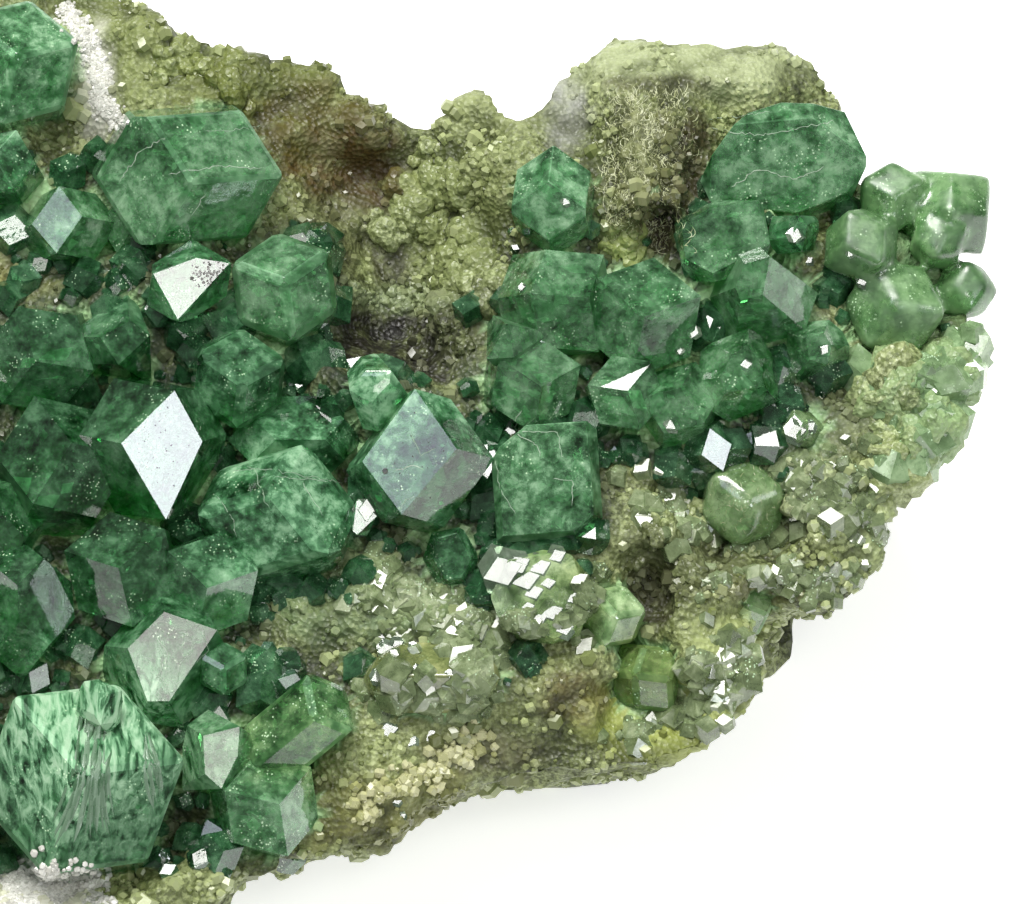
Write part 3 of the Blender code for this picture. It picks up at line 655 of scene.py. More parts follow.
# The milky crystals: across, along and out of the middle, and how milky
HAZY_CRYSTALS = {
    "hazy_lobe": ((-12.8, -3.7, 1.5), 1.15), "upper_lobe": ((-15.1, 4.1, 0.5), 0.55),
    "great_crystal": ((-23.7, -18.3, 5.5), 0.9), "rose_face": ((-19.0, -11.5, 4.0), 0.45),
    "block": ((1.7, -1.9, 1.4), 1.0), "top_crystal": ((-17.9, 15.3, -3.0), 0.5),
    "top_satellite": ((-20.9, 12.4, -4.0), 0.75), "large_right": ((14.5, 15.8, -5.1), 0.65),
    "edge_a": ((20.9, 14.0, -4.9), 0.7), "edge_b": ((24.0, 13.2, -5.5), 0.75),
    "edge_c": ((23.4, 11.6, -4.0), 0.8), "edge_d": ((24.9, 8.9, -5.0), 0.9),
    "edge_e": ((21.0, 7.8, -3.5), 0.8), "corner": ((-27.3, 21.2, -5.5), 1.1),
    "pocket_side": ((-12.5, 8.9, -1.5), 0.4), "middle": ((7.2, 7.4, -1.5), 0.45),
    "mirror_grain": ((-7.6, 3.6, 2.5), 1.3), "stepped": ((1.6, -7.9, 3.0), 0.7),
    "rounded": ((-4.4, -12.4, 4.5), 0.8), "olive": ((-11.8, -15.2, 5.4), 0.7),
    "white_face": ((-15.9, -16.6, 6.0), 0.5), "white_grain": ((-22.4, -13.6, 8.5), 1.5),
    "tall": ((2.4, 13.6, -3.0), 0.8),
}
HAZE_OF_OTHERS = 0.16
HAZY_REACH = 5.5
# The colour of the painted glints: bright specks in the crystals
PAINTED_GLINT_COLOUR = (0.62, 0.84, 0.55)
# The share of area to outline squared below which a face is a narrow worn one
NARROW = 0.040
WORN_SHINE = (0.25, 0.42, 0.28)
WARM_SHADE = (1.0, 0.86, 0.45)
# The yellower crystals: across, along and out of the middle, and how far they reach
WARM_CRYSTALS = {"olive": ((-11.8, -15.2, 5.4), 3.8), "rounded": ((-4.4, -12.4, 4.5), 4.2),
                 "foot_lump": ((7.6, -11.6, 2.0), 3.0), "stepped": ((1.6, -7.9, 3.0), 3.4)}
FIBROUS_CRYSTAL = (-23.7, -18.3, 5.5)
FIBROUS_REACH = (6.0, 8.5)


def garnet_material(name, dark, body, bright, thinned, deep, clearest, cloudiest, roughness):
    """Clear green garnet: its colour is in its depth, mottled, with clouds under the skin and
    painted glints.
    """
    material, tree, shader, place = new_material(name)
    haze, fibrous, frosted = (own(tree, mark) for mark in ("haze", "fibrous", "frosted"))
    mottle = mixed(tree, 0.38, lumps(tree, place, 1100, 8, 0.72, 0.25),
                   lumps(tree, place, 240, 4, 0.55, 0.3))
    along_face = node_of(tree, "ShaderNodeMapping", {
        "Vector": place, "Rotation": (math.radians(-30), 0, 0), "Scale": (1.0, 0.13, 1.0)})
    stripes = lumps(tree, along_face.outputs["Vector"], 1900, 5, 0.62, 0.7)
    pattern = mixed(tree, fibrous, mottle, spread(tree, stripes, 0.0, 1.0, 0.07, 1.07))
    colour = mixed(tree, spread(tree, pattern, 0.36, 0.55), dark, body)
    lighter = maths(tree, "MULTIPLY", spread(tree, pattern, 0.50, 0.72),
                    spread(tree, haze, 0.0, 1.5, 0.45, 1.6))
    colour = mixed(tree, lighter, colour, bright)
    warm = spread(tree, own(tree, "warm"), 0.0, 1.0, 0.0, 0.6)
    colour = shaded(tree, warm, colour, WARM_SHADE)
    # Painted glints: small bright pale green specks in patches, where the crystal is also less clear
    painted_glints = maths(tree, "MULTIPLY",
                   spread(tree, cells(tree, place, 4600), 0.16, 0.30, 1.0, 0.0),
                   spread(tree, lumps(tree, place, 520, 4), 0.52, 0.64))
    cloudy = maths(tree, "MULTIPLY", spread(tree, pattern, 0.38, 0.67),
                   spread(tree, haze, 0.0, 1.5, 0.30, 1.25))
    clear = maths(tree, "SUBTRACT", spread(tree, cloudy, 0.0, 0.8, clearest, cloudiest),
                  maths(tree, "MULTIPLY", painted_glints, 0.6), clamp=True)
    rough = spread(tree, lumps(tree, place, 700, 3), 0.4, 0.7, 0.5 * roughness, 1.5 * roughness)
    ripples = mixed(tree, frosted, lumps(tree, place, 900, 4, 0.55),
                    lumps(tree, place, 2600, 3, 0.7))
    relief = node_of(tree, "ShaderNodeBump", {
        "Strength": spread(tree, frosted, 0.0, 1.0, 0.14, 1.0), "Distance": 0.06 * MM,
        "Height": ripples})
    wire(tree, shader, {
        "Base Color": mixed(tree, painted_glints, colour, PAINTED_GLINT_COLOUR), "Transmission Weight": clear,
        "Roughness": maths(tree, "MULTIPLY_ADD", frosted, 0.35, rough, clamp=True),
        "Specular Tint": mixed(tree, frosted, (1.0, 1.0, 1.0), WORN_SHINE), "IOR": 1.88,
        "Normal": relief.outputs["Normal"]})
    depth = node_of(tree, "ShaderNodeVolumeAbsorption", {"Color": thinned, "Density": deep})
    wire(tree, tree.nodes["Material Output"], {"Volume": depth.outputs["Volume"]})
    return material


def how_far(points, place):
    """How far each point is from a place on the picture, in millimetres."""
    return np.linalg.norm(points - np.array(show_point(*place)), axis=1) / MM


def give_haze(mesh):
    """Keep on each point how milky, warm and fibrous the crystal is that it belongs to."""
    points = points_of(mesh)
    middles = [(show_point(*place), amount) for place, amount in HAZY_CRYSTALS.values()]
    amounts = []
    for spot in points:
        away, amount = min(((middle - Vector(spot)).length / MM, amount)
                           for middle, amount in middles)
        amounts.append(amount if away < HAZY_REACH else HAZE_OF_OTHERS)
    store(mesh, "haze", amounts)
    warmth = np.zeros(len(points))
    for place, reach in WARM_CRYSTALS.values():
        warmth = np.maximum(warmth, 1 - smooth_step(how_far(points, place), 0.8 * reach, reach))
    store(mesh, "warm", warmth)
    store(mesh, "fibrous", 1 - smooth_step(how_far(points, FIBROUS_CRYSTAL), *FIBROUS_REACH))


def frost_edges(mesh):
    """Mark the narrow worn faces, which are matt."""
    marks = []
    for face in mesh.polygons:
        corners = [mesh.vertices[corner].co for corner in face.vertices]
        around = sum((a - b).length for a, b in zip(corners, corners[1:] + corners[:1]))
        marks.append(1.0 if face.area / max(around, 1e-9) ** 2 < NARROW else 0.0)
    store(mesh, "frosted", marks, "FACE")


greens = {name: garnet_material("demantoid_" + name, *values) for name, values in GREENS.items()}
for node, green in CRYSTALS.items():
    solid = merged(node)
    bmesh.ops.dissolve_limit(solid, angle_limit=math.radians(0.8), verts=solid.verts,
                             edges=solid.edges)
    mesh = bpy.data.meshes.new(node + "_clear")
    solid.to_mesh(mesh)
    solid.free()
    crystal = new_piece(node + "_clear", mesh)
    if node in ROUNDED:
        worn = crystal.modifiers.new("worn", "REMESH")
        worn.mode, worn.voxel_size, worn.use_smooth_shade = "VOXEL", ROUNDED_STEP * MM, True
        soft = crystal.modifiers.new("soft", "SMOOTH")
        soft.factor, soft.iterations = 0.5, ROUNDED[node]
    else:
        worn = crystal.modifiers.new("worn", "BEVEL")
        worn.width, worn.segments, worn.limit_method = EDGE_WEAR * MM, 1, "ANGLE"
        worn.angle_limit = math.radians(20)
    made_plain(crystal)
    give_haze(crystal.data)
    frost_edges(crystal.data)
    crystal.data.materials.append(greens[green])
    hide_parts(node)
    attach(crystal, "root")


# The young crystals. Small green garnets that fill the gaps between the large ones, grown on the
# same ground, clear and sharp, their green darkened as painted shade for the gaps.
YOUNG = {"young_crystals": (4.2e5, (0.55, 1.25), 41), "younger_crystals": (5.0e5, (0.20, 0.55), 47)}
bed = crowd * near_crystal * (to_crystal > 0.1)
store(rock.data, "seed_bed", bed * smooth_step(upwards, -0.1, 0.3))
young_tree = scatter_tree("strewn_young_crystals", greens["young"])
for name, values in YOUNG.items():
    young = strew(name, young_tree, *values)
    shade = np.zeros(len(young.data.vertices), np.float32)
    young.data.attributes["shade"].data.foreach_get("value", shade)
    store(young.data, "haze", shade * 0.4)
    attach(young, "root")
bpy.data.objects.remove(grain_shape)


# The mirror facets. Small garnets grown almost flush into the faces around them, whose one
# level face catches the light. Each has its place across and along, its size and its roll.
FACETS = {
    "stepped_plates": [
        (-0.50, -6.55, 1.15, 8), (0.35, -6.2, 0.70, 14), (0.75, -7.0, 0.80, 4),
        (1.55, -6.3, 0.62, 10), (2.5, -5.7, 0.50, 12), (1.2, -7.7, 0.55, 6),
        (2.0, -7.2, 0.42, 0), (3.5, -8.0, 0.52, 14), (2.2, -8.8, 0.62, 8), (2.9, -9.7, 0.50, 4),
        (1.5, -9.2, 0.46, 12), (0.9, -8.5, 0.36, 0), (3.2, -5.4, 0.30, 10)],
    "rounded_squares": [
        (-7.0, -10.1, 0.42, 5), (-6.9, -10.9, 0.50, 0), (-6.3, -10.6, 0.38, 20),
        (-5.4, -10.7, 0.26, 40), (-7.4, -12.4, 0.40, 10), (-5.2, -12.0, 0.28, 0),
        (-3.4, -12.2, 0.24, 60), (-4.4, -13.4, 0.22, 30), (-2.6, -11.4, 0.26, 15)],
    "yellow_mirrors": [
        (-6.8, -15.3, 0.55, 0), (-4.6, -15.6, 0.50, 20), (-5.5, -15.9, 0.34, 40),
        (-2.0, -15.7, 0.30, 10), (-5.9, -17.9, 0.28, 30), (-6.3, -19.2, 0.26, 0),
        (-4.2, -17.6, 0.34, 50), (-6.0, -20.0, 0.20, 20)],
    "white_glints": [
        (15.6, 11.9, 0.42, 70), (16.3, 10.6, 0.34, 30), (19.3, 9.4, 0.36, 10),
        (18.6, 10.9, 0.22, 40), (10.0, 6.6, 0.36, 60), (10.6, 7.8, 0.28, 10),
        (8.8, 1.5, 0.40, 20), (12.9, 4.8, 0.32, 0), (17.2, 5.6, 0.30, 50),
        (-8.0, -3.2, 0.62, 75), (-8.2, -4.6, 0.30, 20), (0.6, 9.0, 0.24, 0),
        (3.0, 13.8, 0.30, 40), (15.6, 1.1, 0.60, 5), (16.4, 1.4, 0.34, 30),
        (-22.2, 9.6, 0.36, 15), (-21.6, 10.2, 0.22, 60), (9.2, 5.6, 0.24, 80)],
}
FACET_FLATNESS = 0.3
FACET_STANDS = 0.02
MIRROR_MIDDLE = bpy.data.objects["mirror_panel"].location
QUARTER = np.array(Matrix.Rotation(math.radians(45), 3, "Y"))

# What the camera sees first: the rock and the crystals
seen = bmesh.new()
seen.from_mesh(rock.data)
for node in CRYSTALS:
    seen.from_mesh(bpy.data.objects[node + "_clear"].data)
surface = BVHTree.FromBMesh(seen)
seen.free()


def place_on_surface(across, along, rock_only=False):
    """The place and facing of what the camera sees there, or None behind a crystal."""
    towards = (show_point(across, along, 0) - EYE_PLACE).normalized()
    if rock_only and crystal_tree.ray_cast(EYE_PLACE, towards)[0] is not None:
        return None, None
    return surface.ray_cast(EYE_PLACE, towards)[:2]


def garnet_at(middle, size, facing, roll, flatness=1.0):
    """The corners and faces of a small garnet with one face towards a direction."""
    turn = facing.to_track_quat("Z", "Y").to_matrix() @ Matrix.Rotation(math.radians(roll), 3, "Z")
    turned = garnet_corners @ QUARTER.T
    turned[:, 2] *= flatness
    return turned @ np.array(turn).T * size + np.array(middle), garnet_faces


def joined(name, shapes, finish, slot, smooth=False, shades=None, tints=None):
    """One piece of many shapes, each with its own tone, and its stain and painted shade where given.
    """
    corners, faces, counts = [], [], []
    for shape_corners, shape_faces in shapes:
        faces += [tuple(len(corners) + corner for corner in face) for face in shape_faces]
        corners += [tuple(corner) for corner in shape_corners]
        counts.append(len(shape_corners))
    mesh = bpy.data.meshes.new(name)
    mesh.from_pydata(corners, [], faces)
    if shades is not None:
        store(mesh, "shade", np.repeat(shades, counts))
    if tints is None:
        tints = np.zeros((len(shapes), 4))
    store(mesh, "stain_and_shade", np.repeat(tints, counts, axis=0))
    mesh.polygons.foreach_set("use_smooth", [smooth] * len(mesh.polygons))
    mesh.materials.append(finish)
    piece = new_piece(name, mesh)
    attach(piece, "root")
    return piece


facet_finish = garnet_material("mirror_garnet", (0.20, 0.30, 0.18), (0.42, 0.56, 0.40),
                               (0.62, 0.74, 0.58), (0.7, 0.88, 0.7), 60.0, 0.8, 0.3, 0.03)
for name, facets in FACETS.items():
    shapes = []
    for across, along, size, roll in facets:
        place, facing = place_on_surface(across, along)
        if place is None:
            continue
        halfway = (EYE_PLACE - place).normalized() + (MIRROR_MIDDLE - place).normalized()
        halfway.normalize()
        sunk = size * FACET_FLATNESS - FACET_STANDS - 0.25 * size * (1 - halfway.dot(facing))
        shapes.append(garnet_at(place - halfway * sunk * MM, size * MM, halfway, roll,
                                FACET_FLATNESS))
    joined(name, shapes, facet_finish, "pale_garnet")


# The pits. Dark specks and etch pits on the mirror faces: across, along, half width, half
# height, how many and their sizes.
PITS = {
    "warm_face_pits": (-16.7, 9.6, 1.0, 0.7, 70, (0.03, 0.10)),
    "white_face_pits": (-19.1, 0.1, 1.3, 2.4, 26, (0.02, 0.05)),
    "slate_face_pits": (-5.6, -0.2, 1.8, 2.4, 16, (0.02, 0.06)),
    "slate_face_spot": (-7.0, -1.1, 0.06, 0.1, 4, (0.10, 0.16)),
}
pit_finish = grain_material("dark_pit", (0.015, 0.018, 0.012), (0.05, 0.055, 0.035))
for name, (across, along, half_width, half_height, many, sizes) in PITS.items():
    chance = random.Random(len(name))
    shapes, shades = [], []
    for _ in range(many):
        spot = (across + chance.gauss(0, 0.5) * half_width,
                along + chance.gauss(0, 0.5) * half_height)
        place, facing = place_on_surface(*spot)
        size = chance.uniform(*sizes)
        shapes.append(garnet_at(place - facing * size * 0.7 * MM, size * MM, facing,
                                chance.uniform(0, 90)))
        shades.append(chance.random())
    joined(name, shapes, pit_finish, "garnet_rock", shades=shades)


# The cracks and highlight threads. Healed cracks and growth lines that show pale on the faces, and
# painted highlights along the milky lobe, all as fine raised threads: each a list of places across
# and along, as seen.
PALE_THREADS = {
    "rose_face_cracks": [
        [(-19.5, -10.2), (-18.9, -11.2), (-19.5, -12.3), (-18.8, -13.0)],
        [(-18.2, -10.1), (-17.2, -10.3), (-18.2, -11.6), (-18.5, -13.0)],
        [(-17.0, -9.8), (-16.7, -10.9), (-17.4, -11.7)]],
    # painted highlights: pale threads along the thin highlight lines of the milky lobe
    "milky_lobe_cracks": [
        [(-16.6, -0.6), (-13.1, -1.0), (-9.4, -1.7)], [(-13.1, -1.4), (-9.7, -1.6)],
        [(-15.4, -1.1), (-14.2, -0.9), (-13.4, -3.1)], [(-11.6, -1.6), (-10.4, -3.4)],
        [(-16.2, -2.4), (-15.4, -3.6), (-15.2, -4.6)]],
    "slate_face_cracks": [
        [(-6.4, -1.0), (-5.4, -0.7), (-4.9, -0.9)], [(-5.6, 1.0), (-5.0, -0.2), (-4.2, 0.3)],
        [(-6.4, -3.4), (-5.8, -2.6), (-5.2, -2.4)]],
    "block_cracks": [
        [(-1.3, 1.1), (2.5, 1.1), (2.8, -0.3)], [(0.5, 2.3), (0.1, 1.1), (1.4, 0.3), (1.6, -0.3)],
        [(2.3, -1.5), (3.4, -1.5), (3.2, -2.9)], [(-0.9, -0.4), (-0.6, -2.2), (0.2, -3.4)]],
    "top_crystal_cracks": [
        [(-16.9, 17.6), (-13.7, 17.9)], [(-18.9, 15.3), (-16.4, 15.7), (-13.7, 15.6)],
        [(-21.6, 14.8), (-20.6, 16.4), (-19.0, 17.4)], [(-17.6, 13.0), (-16.8, 14.2)]],
    "large_right_cracks": [
        [(10.9, 17.8), (13.7, 17.4), (17.8, 18.2)], [(10.8, 18.3), (14.2, 18.7)],
        [(12.0, 14.6), (13.6, 15.6), (15.4, 15.0), (17.2, 15.6)]],
}
THREAD_STEP = 0.22
THREAD_RADIUS = (0.014, 0.032)
THREAD_STRAY = 0.05


def thread(points, radii, sides):
    """The corners and faces of a closed thread through points, thicker or thinner by radii."""
    corners, faces = [], []
    for step, point in enumerate(points):
        ahead = points[min(step + 1, len(points) - 1)] - points[max(step - 1, 0)]
        turn = ahead.to_track_quat("Z", "Y").to_matrix()
        for side in range(sides):
            angle = 2 * math.pi * side / sides
            ring = Vector((math.cos(angle), math.sin(angle), 0)) * radii[step]
            corners.append(point + turn @ ring)
    for step in range(len(points) - 1):
        for side in range(sides):
            after = (side + 1) % sides
            low, high = step * sides, (step + 1) * sides
            faces.append((low + side, low + after, high + after, high + side))
    faces.append(tuple(reversed(range(sides))))
    faces.append(tuple(range((len(points) - 1) * sides, len(points) * sides)))
    return corners, faces


def along_path(path, step):
    """Places at even steps along a path of places."""
    spots = []
    for start, end in zip(path, path[1:]):
        start, end = Vector(start), Vector(end)
        count = max(1, round((end - start).length / step))
        spots += [start.lerp(end, part / count) for part in range(count)]
    return spots + [Vector(path[-1])]


pale_thread_finish = grain_material("pale_thread", (0.42, 0.60, 0.42), (0.72, 0.84, 0.68), 0.3)
for name, paths in PALE_THREADS.items():
    chance = random.Random(len(name))
    shapes, shades = [], []
    for path in paths:
        points = []
        for spot in along_path(path, THREAD_STEP):
            stray = Vector((chance.gauss(0, THREAD_STRAY), chance.gauss(0, THREAD_STRAY)))
            place, facing = place_on_surface(*(spot + stray))
            if place is not None:
                points.append(place)
        radii = [chance.uniform(*THREAD_RADIUS) * MM for _ in points]
        radii[0] = radii[-1] = 0.2 * THREAD_RADIUS[0] * MM
        shapes.append(thread(points, radii, 4))
        shades.append(chance.random())
    joined(name, shapes, pale_thread_finish, "pale_garnet", shades=shades)


# The fibres. The great crystal at the lower left is grown over with curved sheaves of fine
# grey-green fibres, and the column at the top with matted wool-like ones.
FIBRE_PARTS = 9
FIBRE_SUNK = 0.7
LONGEST_PART = 1.2
# Each sheaf: the middle and half size of where it starts, and of where it ends or how long
# its threads are; how far they bow, how many there are, their radius, seed, slot and finish
SHEAVES = {
    "great_crystal_fibres": (((-22.6, -14.6), (1.3, 1.2)), ((-23.6, -22.4), (2.6, 1.2)), 0.9,
                             60, (0.12, 0.34), 113, "demantoid", "fibre"),
    "right_fibres": (((-20.4, -14.4), (0.6, 1.0)), ((-18.6, -21.4), (1.4, 1.4)), 1.2,
                     36, (0.10, 0.30), 127, "demantoid", "fibre"),
    "column_wool": (((7.3, 15.2), (2.3, 4.4)), (0.4, 1.5), 0.6,
                    950, (0.014, 0.040), 131, "garnet_rock", "wool"),
    "middle_wool": (((13.6, -2.2), (3.2, 2.4)), (0.2, 0.7), 0.3,
                    160, (0.012, 0.028), 137, "garnet_rock", "wool"),
}
fibre_finishes = {
    "fibre": grain_material("fibrous_garnet", (0.10, 0.22, 0.11), (0.34, 0.50, 0.35), 0.35),
    "wool": grain_material("matted_wool", (0.30, 0.33, 0.14), (0.62, 0.65, 0.42))}
for name, (begun, ended, bowed, many, radii, seed, slot, finish) in SHEAVES.items():
    chance = random.Random(seed)
    shapes, shades = [], []
    for _ in range(many):
        side, upwards = chance.uniform(-1, 1), chance.uniform(-1, 1)
        start = Vector(begun[0]) + Vector((side * begun[1][0], upwards * begun[1][1]))
        if finish == "fibre":
            end = Vector(ended[0]) + Vector((side * ended[1][0],
                                             chance.uniform(-1, 1) * ended[1][1]))
            bow = side * bowed + chance.gauss(0, 0.2)
        else:
            angle = chance.gauss(math.radians(90), 0.7)
            end = start + Vector((math.cos(angle), math.sin(angle))) * chance.uniform(*ended)
            bow = chance.uniform(-1, 1) * bowed
        along, radius = end - start, chance.uniform(*radii)
        beside = Vector((-along.y, along.x)).normalized()
        first, last = (0.0, 1.0) if finish == "wool" else sorted(
            (chance.uniform(0, 0.45), chance.uniform(0.55, 1)))
        points = []
        for part in range(FIBRE_PARTS):
            share = first + (last - first) * part / (FIBRE_PARTS - 1)
            spot = start + along * share - beside * bow * math.sin(math.pi * share)
            place, facing = place_on_surface(*spot)
            if place is not None:
                points.append(place - facing * radius * FIBRE_SUNK * MM)
        smooth_run = all((b - a).length < LONGEST_PART * MM for a, b in zip(points, points[1:]))
        if len(points) < FIBRE_PARTS or not smooth_run:
            continue
        swelling = [radius * (0.25 + 0.75 * math.sin(math.pi * (part + 0.5) / FIBRE_PARTS)) * MM
                    for part in range(FIBRE_PARTS)]
        shapes.append(thread(points, swelling, 5))
        shades.append(chance.random())
    joined(name, shapes, fibre_finishes[finish], slot, smooth=True, shades=shades)


# The crusts. Chalky white powder on the rock at the upper left and lower left corners, and
# pale yellow beads along the lower edge.
LOWEST_CRUST = 3
# Each crust: its finish, its seed, the path it follows, how far it strays, how many garnets
# it has and their sizes
CRUSTS = {
    "upper_crust": ("chalk", 61, [(-24.6, 24.4), (-23.3, 22.6), (-22.6, 20.9), (-22.9, 19.4),
                                  (-21.6, 18.2)], 0.5, 1400, (0.06, 0.16)),
    "lower_crust": ("chalk", 67, [(-28.2, -23.6), (-26.4, -24.4), (-24.6, -24.2),
                                  (-23.2, -24.8)], 1.3, 2200, (0.08, 0.20)),
    "lower_beads": ("bead", 71, [(-8.6, -19.6), (-6.4, -18.4), (-4.2, -17.2), (-1.9, -16.0)],
                    1.1, 150, (0.10, 0.32)),
}
crust_finishes = {
    "chalk": grain_material("crust_chalk", (0.50, 0.50, 0.44), (0.80, 0.80, 0.74)),
    "bead": grain_material("crust_bead", (0.42, 0.44, 0.17), (0.74, 0.74, 0.44), 0.25)}


def strewn_along(chance, path, stray, many, sizes):
    """Places strewn along a path, each with a size in metres."""
    path = [Vector(place) for place in path]
    for _ in range(many):
        leg = chance.randrange(len(path) - 1)
        spot = path[leg].lerp(path[leg + 1], chance.random())
        spot += Vector((chance.gauss(0, 0.5), chance.gauss(0, 0.5))) * stray
        yield spot, chance.uniform(*sizes) * MM


def garnets_along(seed, layout, sunk, lowest, rock_only):
    """Small garnets along a path, turned at random, and a shade for each."""
    chance = random.Random(seed)
    shapes, shades = [], []
    for spot, size in strewn_along(chance, *layout):
        turn = Vector((chance.uniform(-1, 1), chance.uniform(-1, 1), chance.uniform(0.2, 1)))
        roll, shade = chance.uniform(0, 90), chance.random()
        place, facing = place_on_surface(*spot, rock_only)
        if place is not None and place.z > lowest * MM:
            shapes.append(garnet_at(place - facing * size * sunk, size, turn.normalized(), roll))
            shades.append(shade)
    return shapes, shades


for name, (finish, seed, *layout) in CRUSTS.items():
    shapes, shades = garnets_along(seed, layout, 0.0, LOWEST_CRUST, False)
    joined(name, shapes, crust_finishes[finish], "garnet_rock", shades=shades)


# The knobs. Rounded milky lumps of garnet that crowd together above the pocket, at the foot
# of the wool column, along the upper rim and down the right side.
KNOB_SUNK, LOWEST_KNOB = 0.55, 3
# Each group: its seed, path, how far it strays, how many knobs it has and their sizes
KNOBS = {
    "pocket_knobs": (73, [(-6.4, 12.4), (-4.2, 15.4), (-2.6, 12.8), (-3.4, 9.6), (-0.4, 9.4)],
                     1.5, 90, (0.45, 1.25)),
    "rim_knobs": (79, [(-19.0, 21.4), (-17.4, 21.8), (-14.2, 18.0)], 1.0, 26, (0.45, 1.0)),
    "column_knobs": (89, [(5.6, 11.6), (6.6, 10.8)], 0.5, 7, (0.6, 1.1)),
    "ledge_knobs": (97, [(-9.0, 8.6), (-5.0, 8.2), (-2.6, 6.4)], 0.8, 60, (0.25, 0.60)),
    "low_knobs": (101, [(-13.0, -8.0), (-9.0, -7.0), (-5.6, -8.6), (-2.0, -8.6)],
                  1.6, 40, (0.40, 0.90)),
    "right_knobs": (103, [(7.0, -4.4), (11.0, -4.0), (14.0, -1.6), (19.0, -3.0)],
                    2.2, 50, (0.40, 0.90)),
    "rim_right_knobs": (107, [(24.6, 6.6), (22.6, 1.6), (20.8, 4.0), (22.0, -2.4)],
                        1.3, 36, (0.9, 2.2)),
}
ball = bmesh.new()
bmesh.ops.create_icosphere(ball, subdivisions=3, radius=1)
ball_corners = [vert.co.copy() for vert in ball.verts]
ball_faces = [tuple(vert.index for vert in face.verts) for face in ball.faces]
ball.free()
knob_finish = rock_material("milky_knob", (0.075, 0.10, 0.028), (0.22, 0.27, 0.095),
                            (0.46, 0.53, 0.26), 0.35, 0.8)
for name, (seed, *layout) in KNOBS.items():
    chance = random.Random(seed)
    shapes, shades, middles = [], [], []
    for spot, size in strewn_along(chance, *layout):
        shift, own_shade = chance.uniform(0, 50), chance.random()
        place, facing = place_on_surface(*spot, rock_only=True)
        if place is None or place.z < LOWEST_KNOB * MM:
            continue
        corners = []
        for corner in ball_corners:
            from_middle = corner + Vector((shift, 0, 0))
            lumpy = 0.55 * noise.noise(from_middle * 1.2) + 0.35 * noise.noise(from_middle * 2.7)
            cell = noise.voronoi(corner * size / (0.45 * MM) + Vector((0, shift, 0)))[0][0]
            lumpy += 0.14 * (0.4 - cell)
            corners.append(place - facing * size * KNOB_SUNK + corner * size * (1 + lumpy))
        shapes.append((corners, ball_faces))
        shades.append(own_shade)
        middles.append(place)
    joined(name, shapes, knob_finish, "garnet_rock", smooth=True, shades=shades,
           tints=stain_and_shade_colours(show_places(np.array(middles))))


# The rubble. Small cloudy garnets, half sunk into each other, that cover the rock below the
# middle, on the right and along the right rim.
RUBBLE_SUNK, LOWEST_RUBBLE = 0.5, 2
# Each group: its green, seed, path, how far it strays, how many garnets it has and their sizes
RUBBLE = {
    "foot_rubble": ("sugar", 139, [(-9.4, -6.4), (-6.0, -8.0), (-2.4, -9.4), (-1.6, -11.0)],
                    1.3, 190, (0.25, 0.80)),
    "stepped_rubble": ("sugar", 149, [(0.4, -9.6), (4.4, -9.6), (6.6, -8.4)],
                       0.9, 70, (0.25, 0.75)),
    "rounded_rubble": ("sugar", 151, [(-8.6, -11.2), (-8.0, -13.2), (-4.0, -14.2),
                                      (-1.0, -13.4)], 0.5, 60, (0.25, 0.70)),
    "right_rubble": ("sugar", 157, [(7.6, -2.6), (12.0, -3.8), (15.4, -0.8), (19.6, -3.6)],
                     2.1, 330, (0.20, 0.75)),
    "right_low_rubble": ("sugar", 163, [(11.0, -7.6), (14.6, -7.0), (18.6, -7.2)],
                         1.0, 90, (0.20, 0.60)),
    "rim_rubble": ("mint", 167, [(20.4, 5.2), (22.4, 1.4), (24.6, 6.0), (21.6, -2.0)],
                   1.3, 110, (0.50, 1.35)),
    "rounded_overgrowth": ("sugar", 179, [(-7.6, -10.2), (-1.8, -10.6), (-2.2, -13.4),
                                          (-7.4, -13.6)], 1.0, 80, (0.30, 0.95)),
    "stepped_overgrowth": ("sugar", 181, [(-0.8, -9.0), (1.0, -9.8), (4.0, -8.8), (4.4, -6.2)],
                           0.6, 50, (0.22, 0.60)),
    "upper_overgrowth": ("sugar", 191, [(-9.6, -6.0), (-6.4, -7.2), (-3.0, -8.6)],
                         0.7, 50, (0.25, 0.70)),
    "foot_lemon_rubble": ("sugar", 173, [(8.4, -13.0), (12.4, -10.8), (12.0, -13.4),
                                         (6.0, -15.6)], 1.1, 110, (0.25, 0.80)),
}
# These grow over the crystals too
OVERGROWN = ["rounded_overgrowth", "stepped_overgrowth", "upper_overgrowth"]
for name, (green, seed, *layout) in RUBBLE.items():
    shapes, shades = garnets_along(seed, layout, RUBBLE_SUNK, LOWEST_RUBBLE,
                                   name not in OVERGROWN)
    piece = joined(name, shapes, greens[green], "pale_garnet", shades=shades)
    store(piece.data, "haze", np.repeat(shades, len(garnet_corners)))


# The veils. Healed cracks inside the clear crystals, thin as foil, which catch the light.
# Each is a flat flake with four tips, well inside the crystal that it belongs to.
VEILS_PER_VOLUME = 2.8
MOST_VEILS = 900
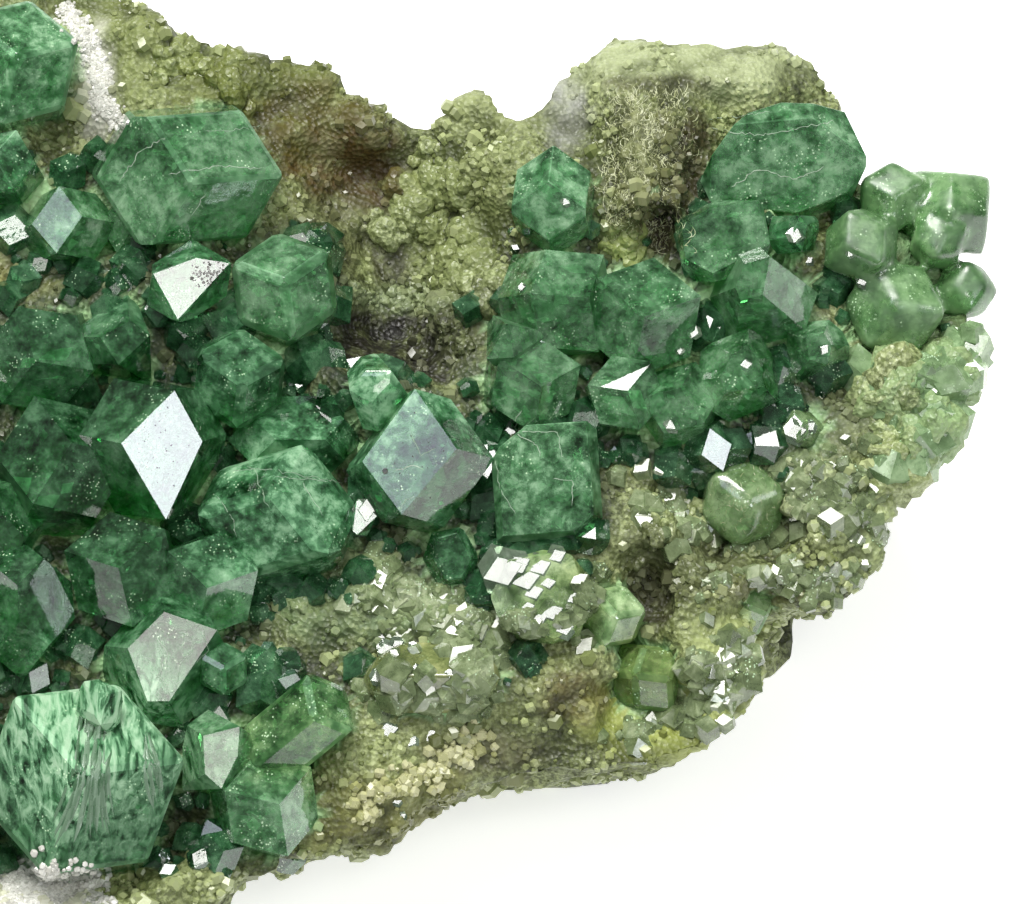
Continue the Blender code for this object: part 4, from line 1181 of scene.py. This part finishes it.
# Their sizes: the least, the greatest, and the share of the veils that have them
VEIL_SIZES = [(0.03, 0.10, 0.66), (0.10, 0.40, 0.24), (0.4, 1.4, 0.10)]
VEIL_THINNESS, VEIL_WIDTHS, VEIL_COVER = 0.03, (0.3, 0.9), 0.25
MOST_TRIES = 12
VEIL_FACES = [(0, 2, 4), (2, 1, 4), (1, 3, 4), (3, 0, 4),
              (2, 0, 5), (1, 2, 5), (3, 1, 5), (0, 3, 5)]


def within(tree, spot):
    """Whether a place is inside a closed shape, as seen in three directions."""
    for direction in (Vector((0, 0, 1)), Vector((0, 0, -1)), Vector((1, 0, 0))):
        place, facing, _, _ = tree.ray_cast(spot, direction)
        if place is None or facing.dot(direction) < 0:
            return False
    return True


veil_finish = grain_material("veil", (0.42, 0.70, 0.46), (0.86, 0.96, 0.82), 0.1)
chance = random.Random(83)
shapes, shades = [], []
for node in CRYSTALS:
    body = merged(node)
    inside = BVHTree.FromBMesh(body)
    count = int(min(MOST_VEILS, VEILS_PER_VOLUME * body.calc_volume() / MM ** 3))
    body.free()
    low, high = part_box(node)
    for _ in range(count):
        for _ in range(MOST_TRIES):
            spot = Vector([chance.uniform(low[axis], high[axis]) for axis in range(3)])
            away = inside.find_nearest(spot)[3]
            if away > VEIL_COVER * MM and within(inside, spot):
                break
        else:
            continue
        smallest, largest, _ = chance.choices(VEIL_SIZES, [share for _, _, share in VEIL_SIZES])[0]
        size = min(chance.uniform(smallest, largest) * MM, 0.8 * away)
        turn = Matrix.Rotation(chance.uniform(0, 6.28), 3, "X") @ Matrix.Rotation(
            chance.uniform(0, 6.28), 3, "Z")
        tips = [(1, 0, 0), (-1, 0, 0), (0, chance.uniform(*VEIL_WIDTHS), 0),
                (0, -chance.uniform(*VEIL_WIDTHS), 0), (0, 0, VEIL_THINNESS),
                (0, 0, -VEIL_THINNESS)]
        shapes.append(([spot + turn @ Vector(tip) * size for tip in tips], VEIL_FACES))
        shades.append(chance.random())
joined("veils", shapes, veil_finish, "demantoid", shades=shades)
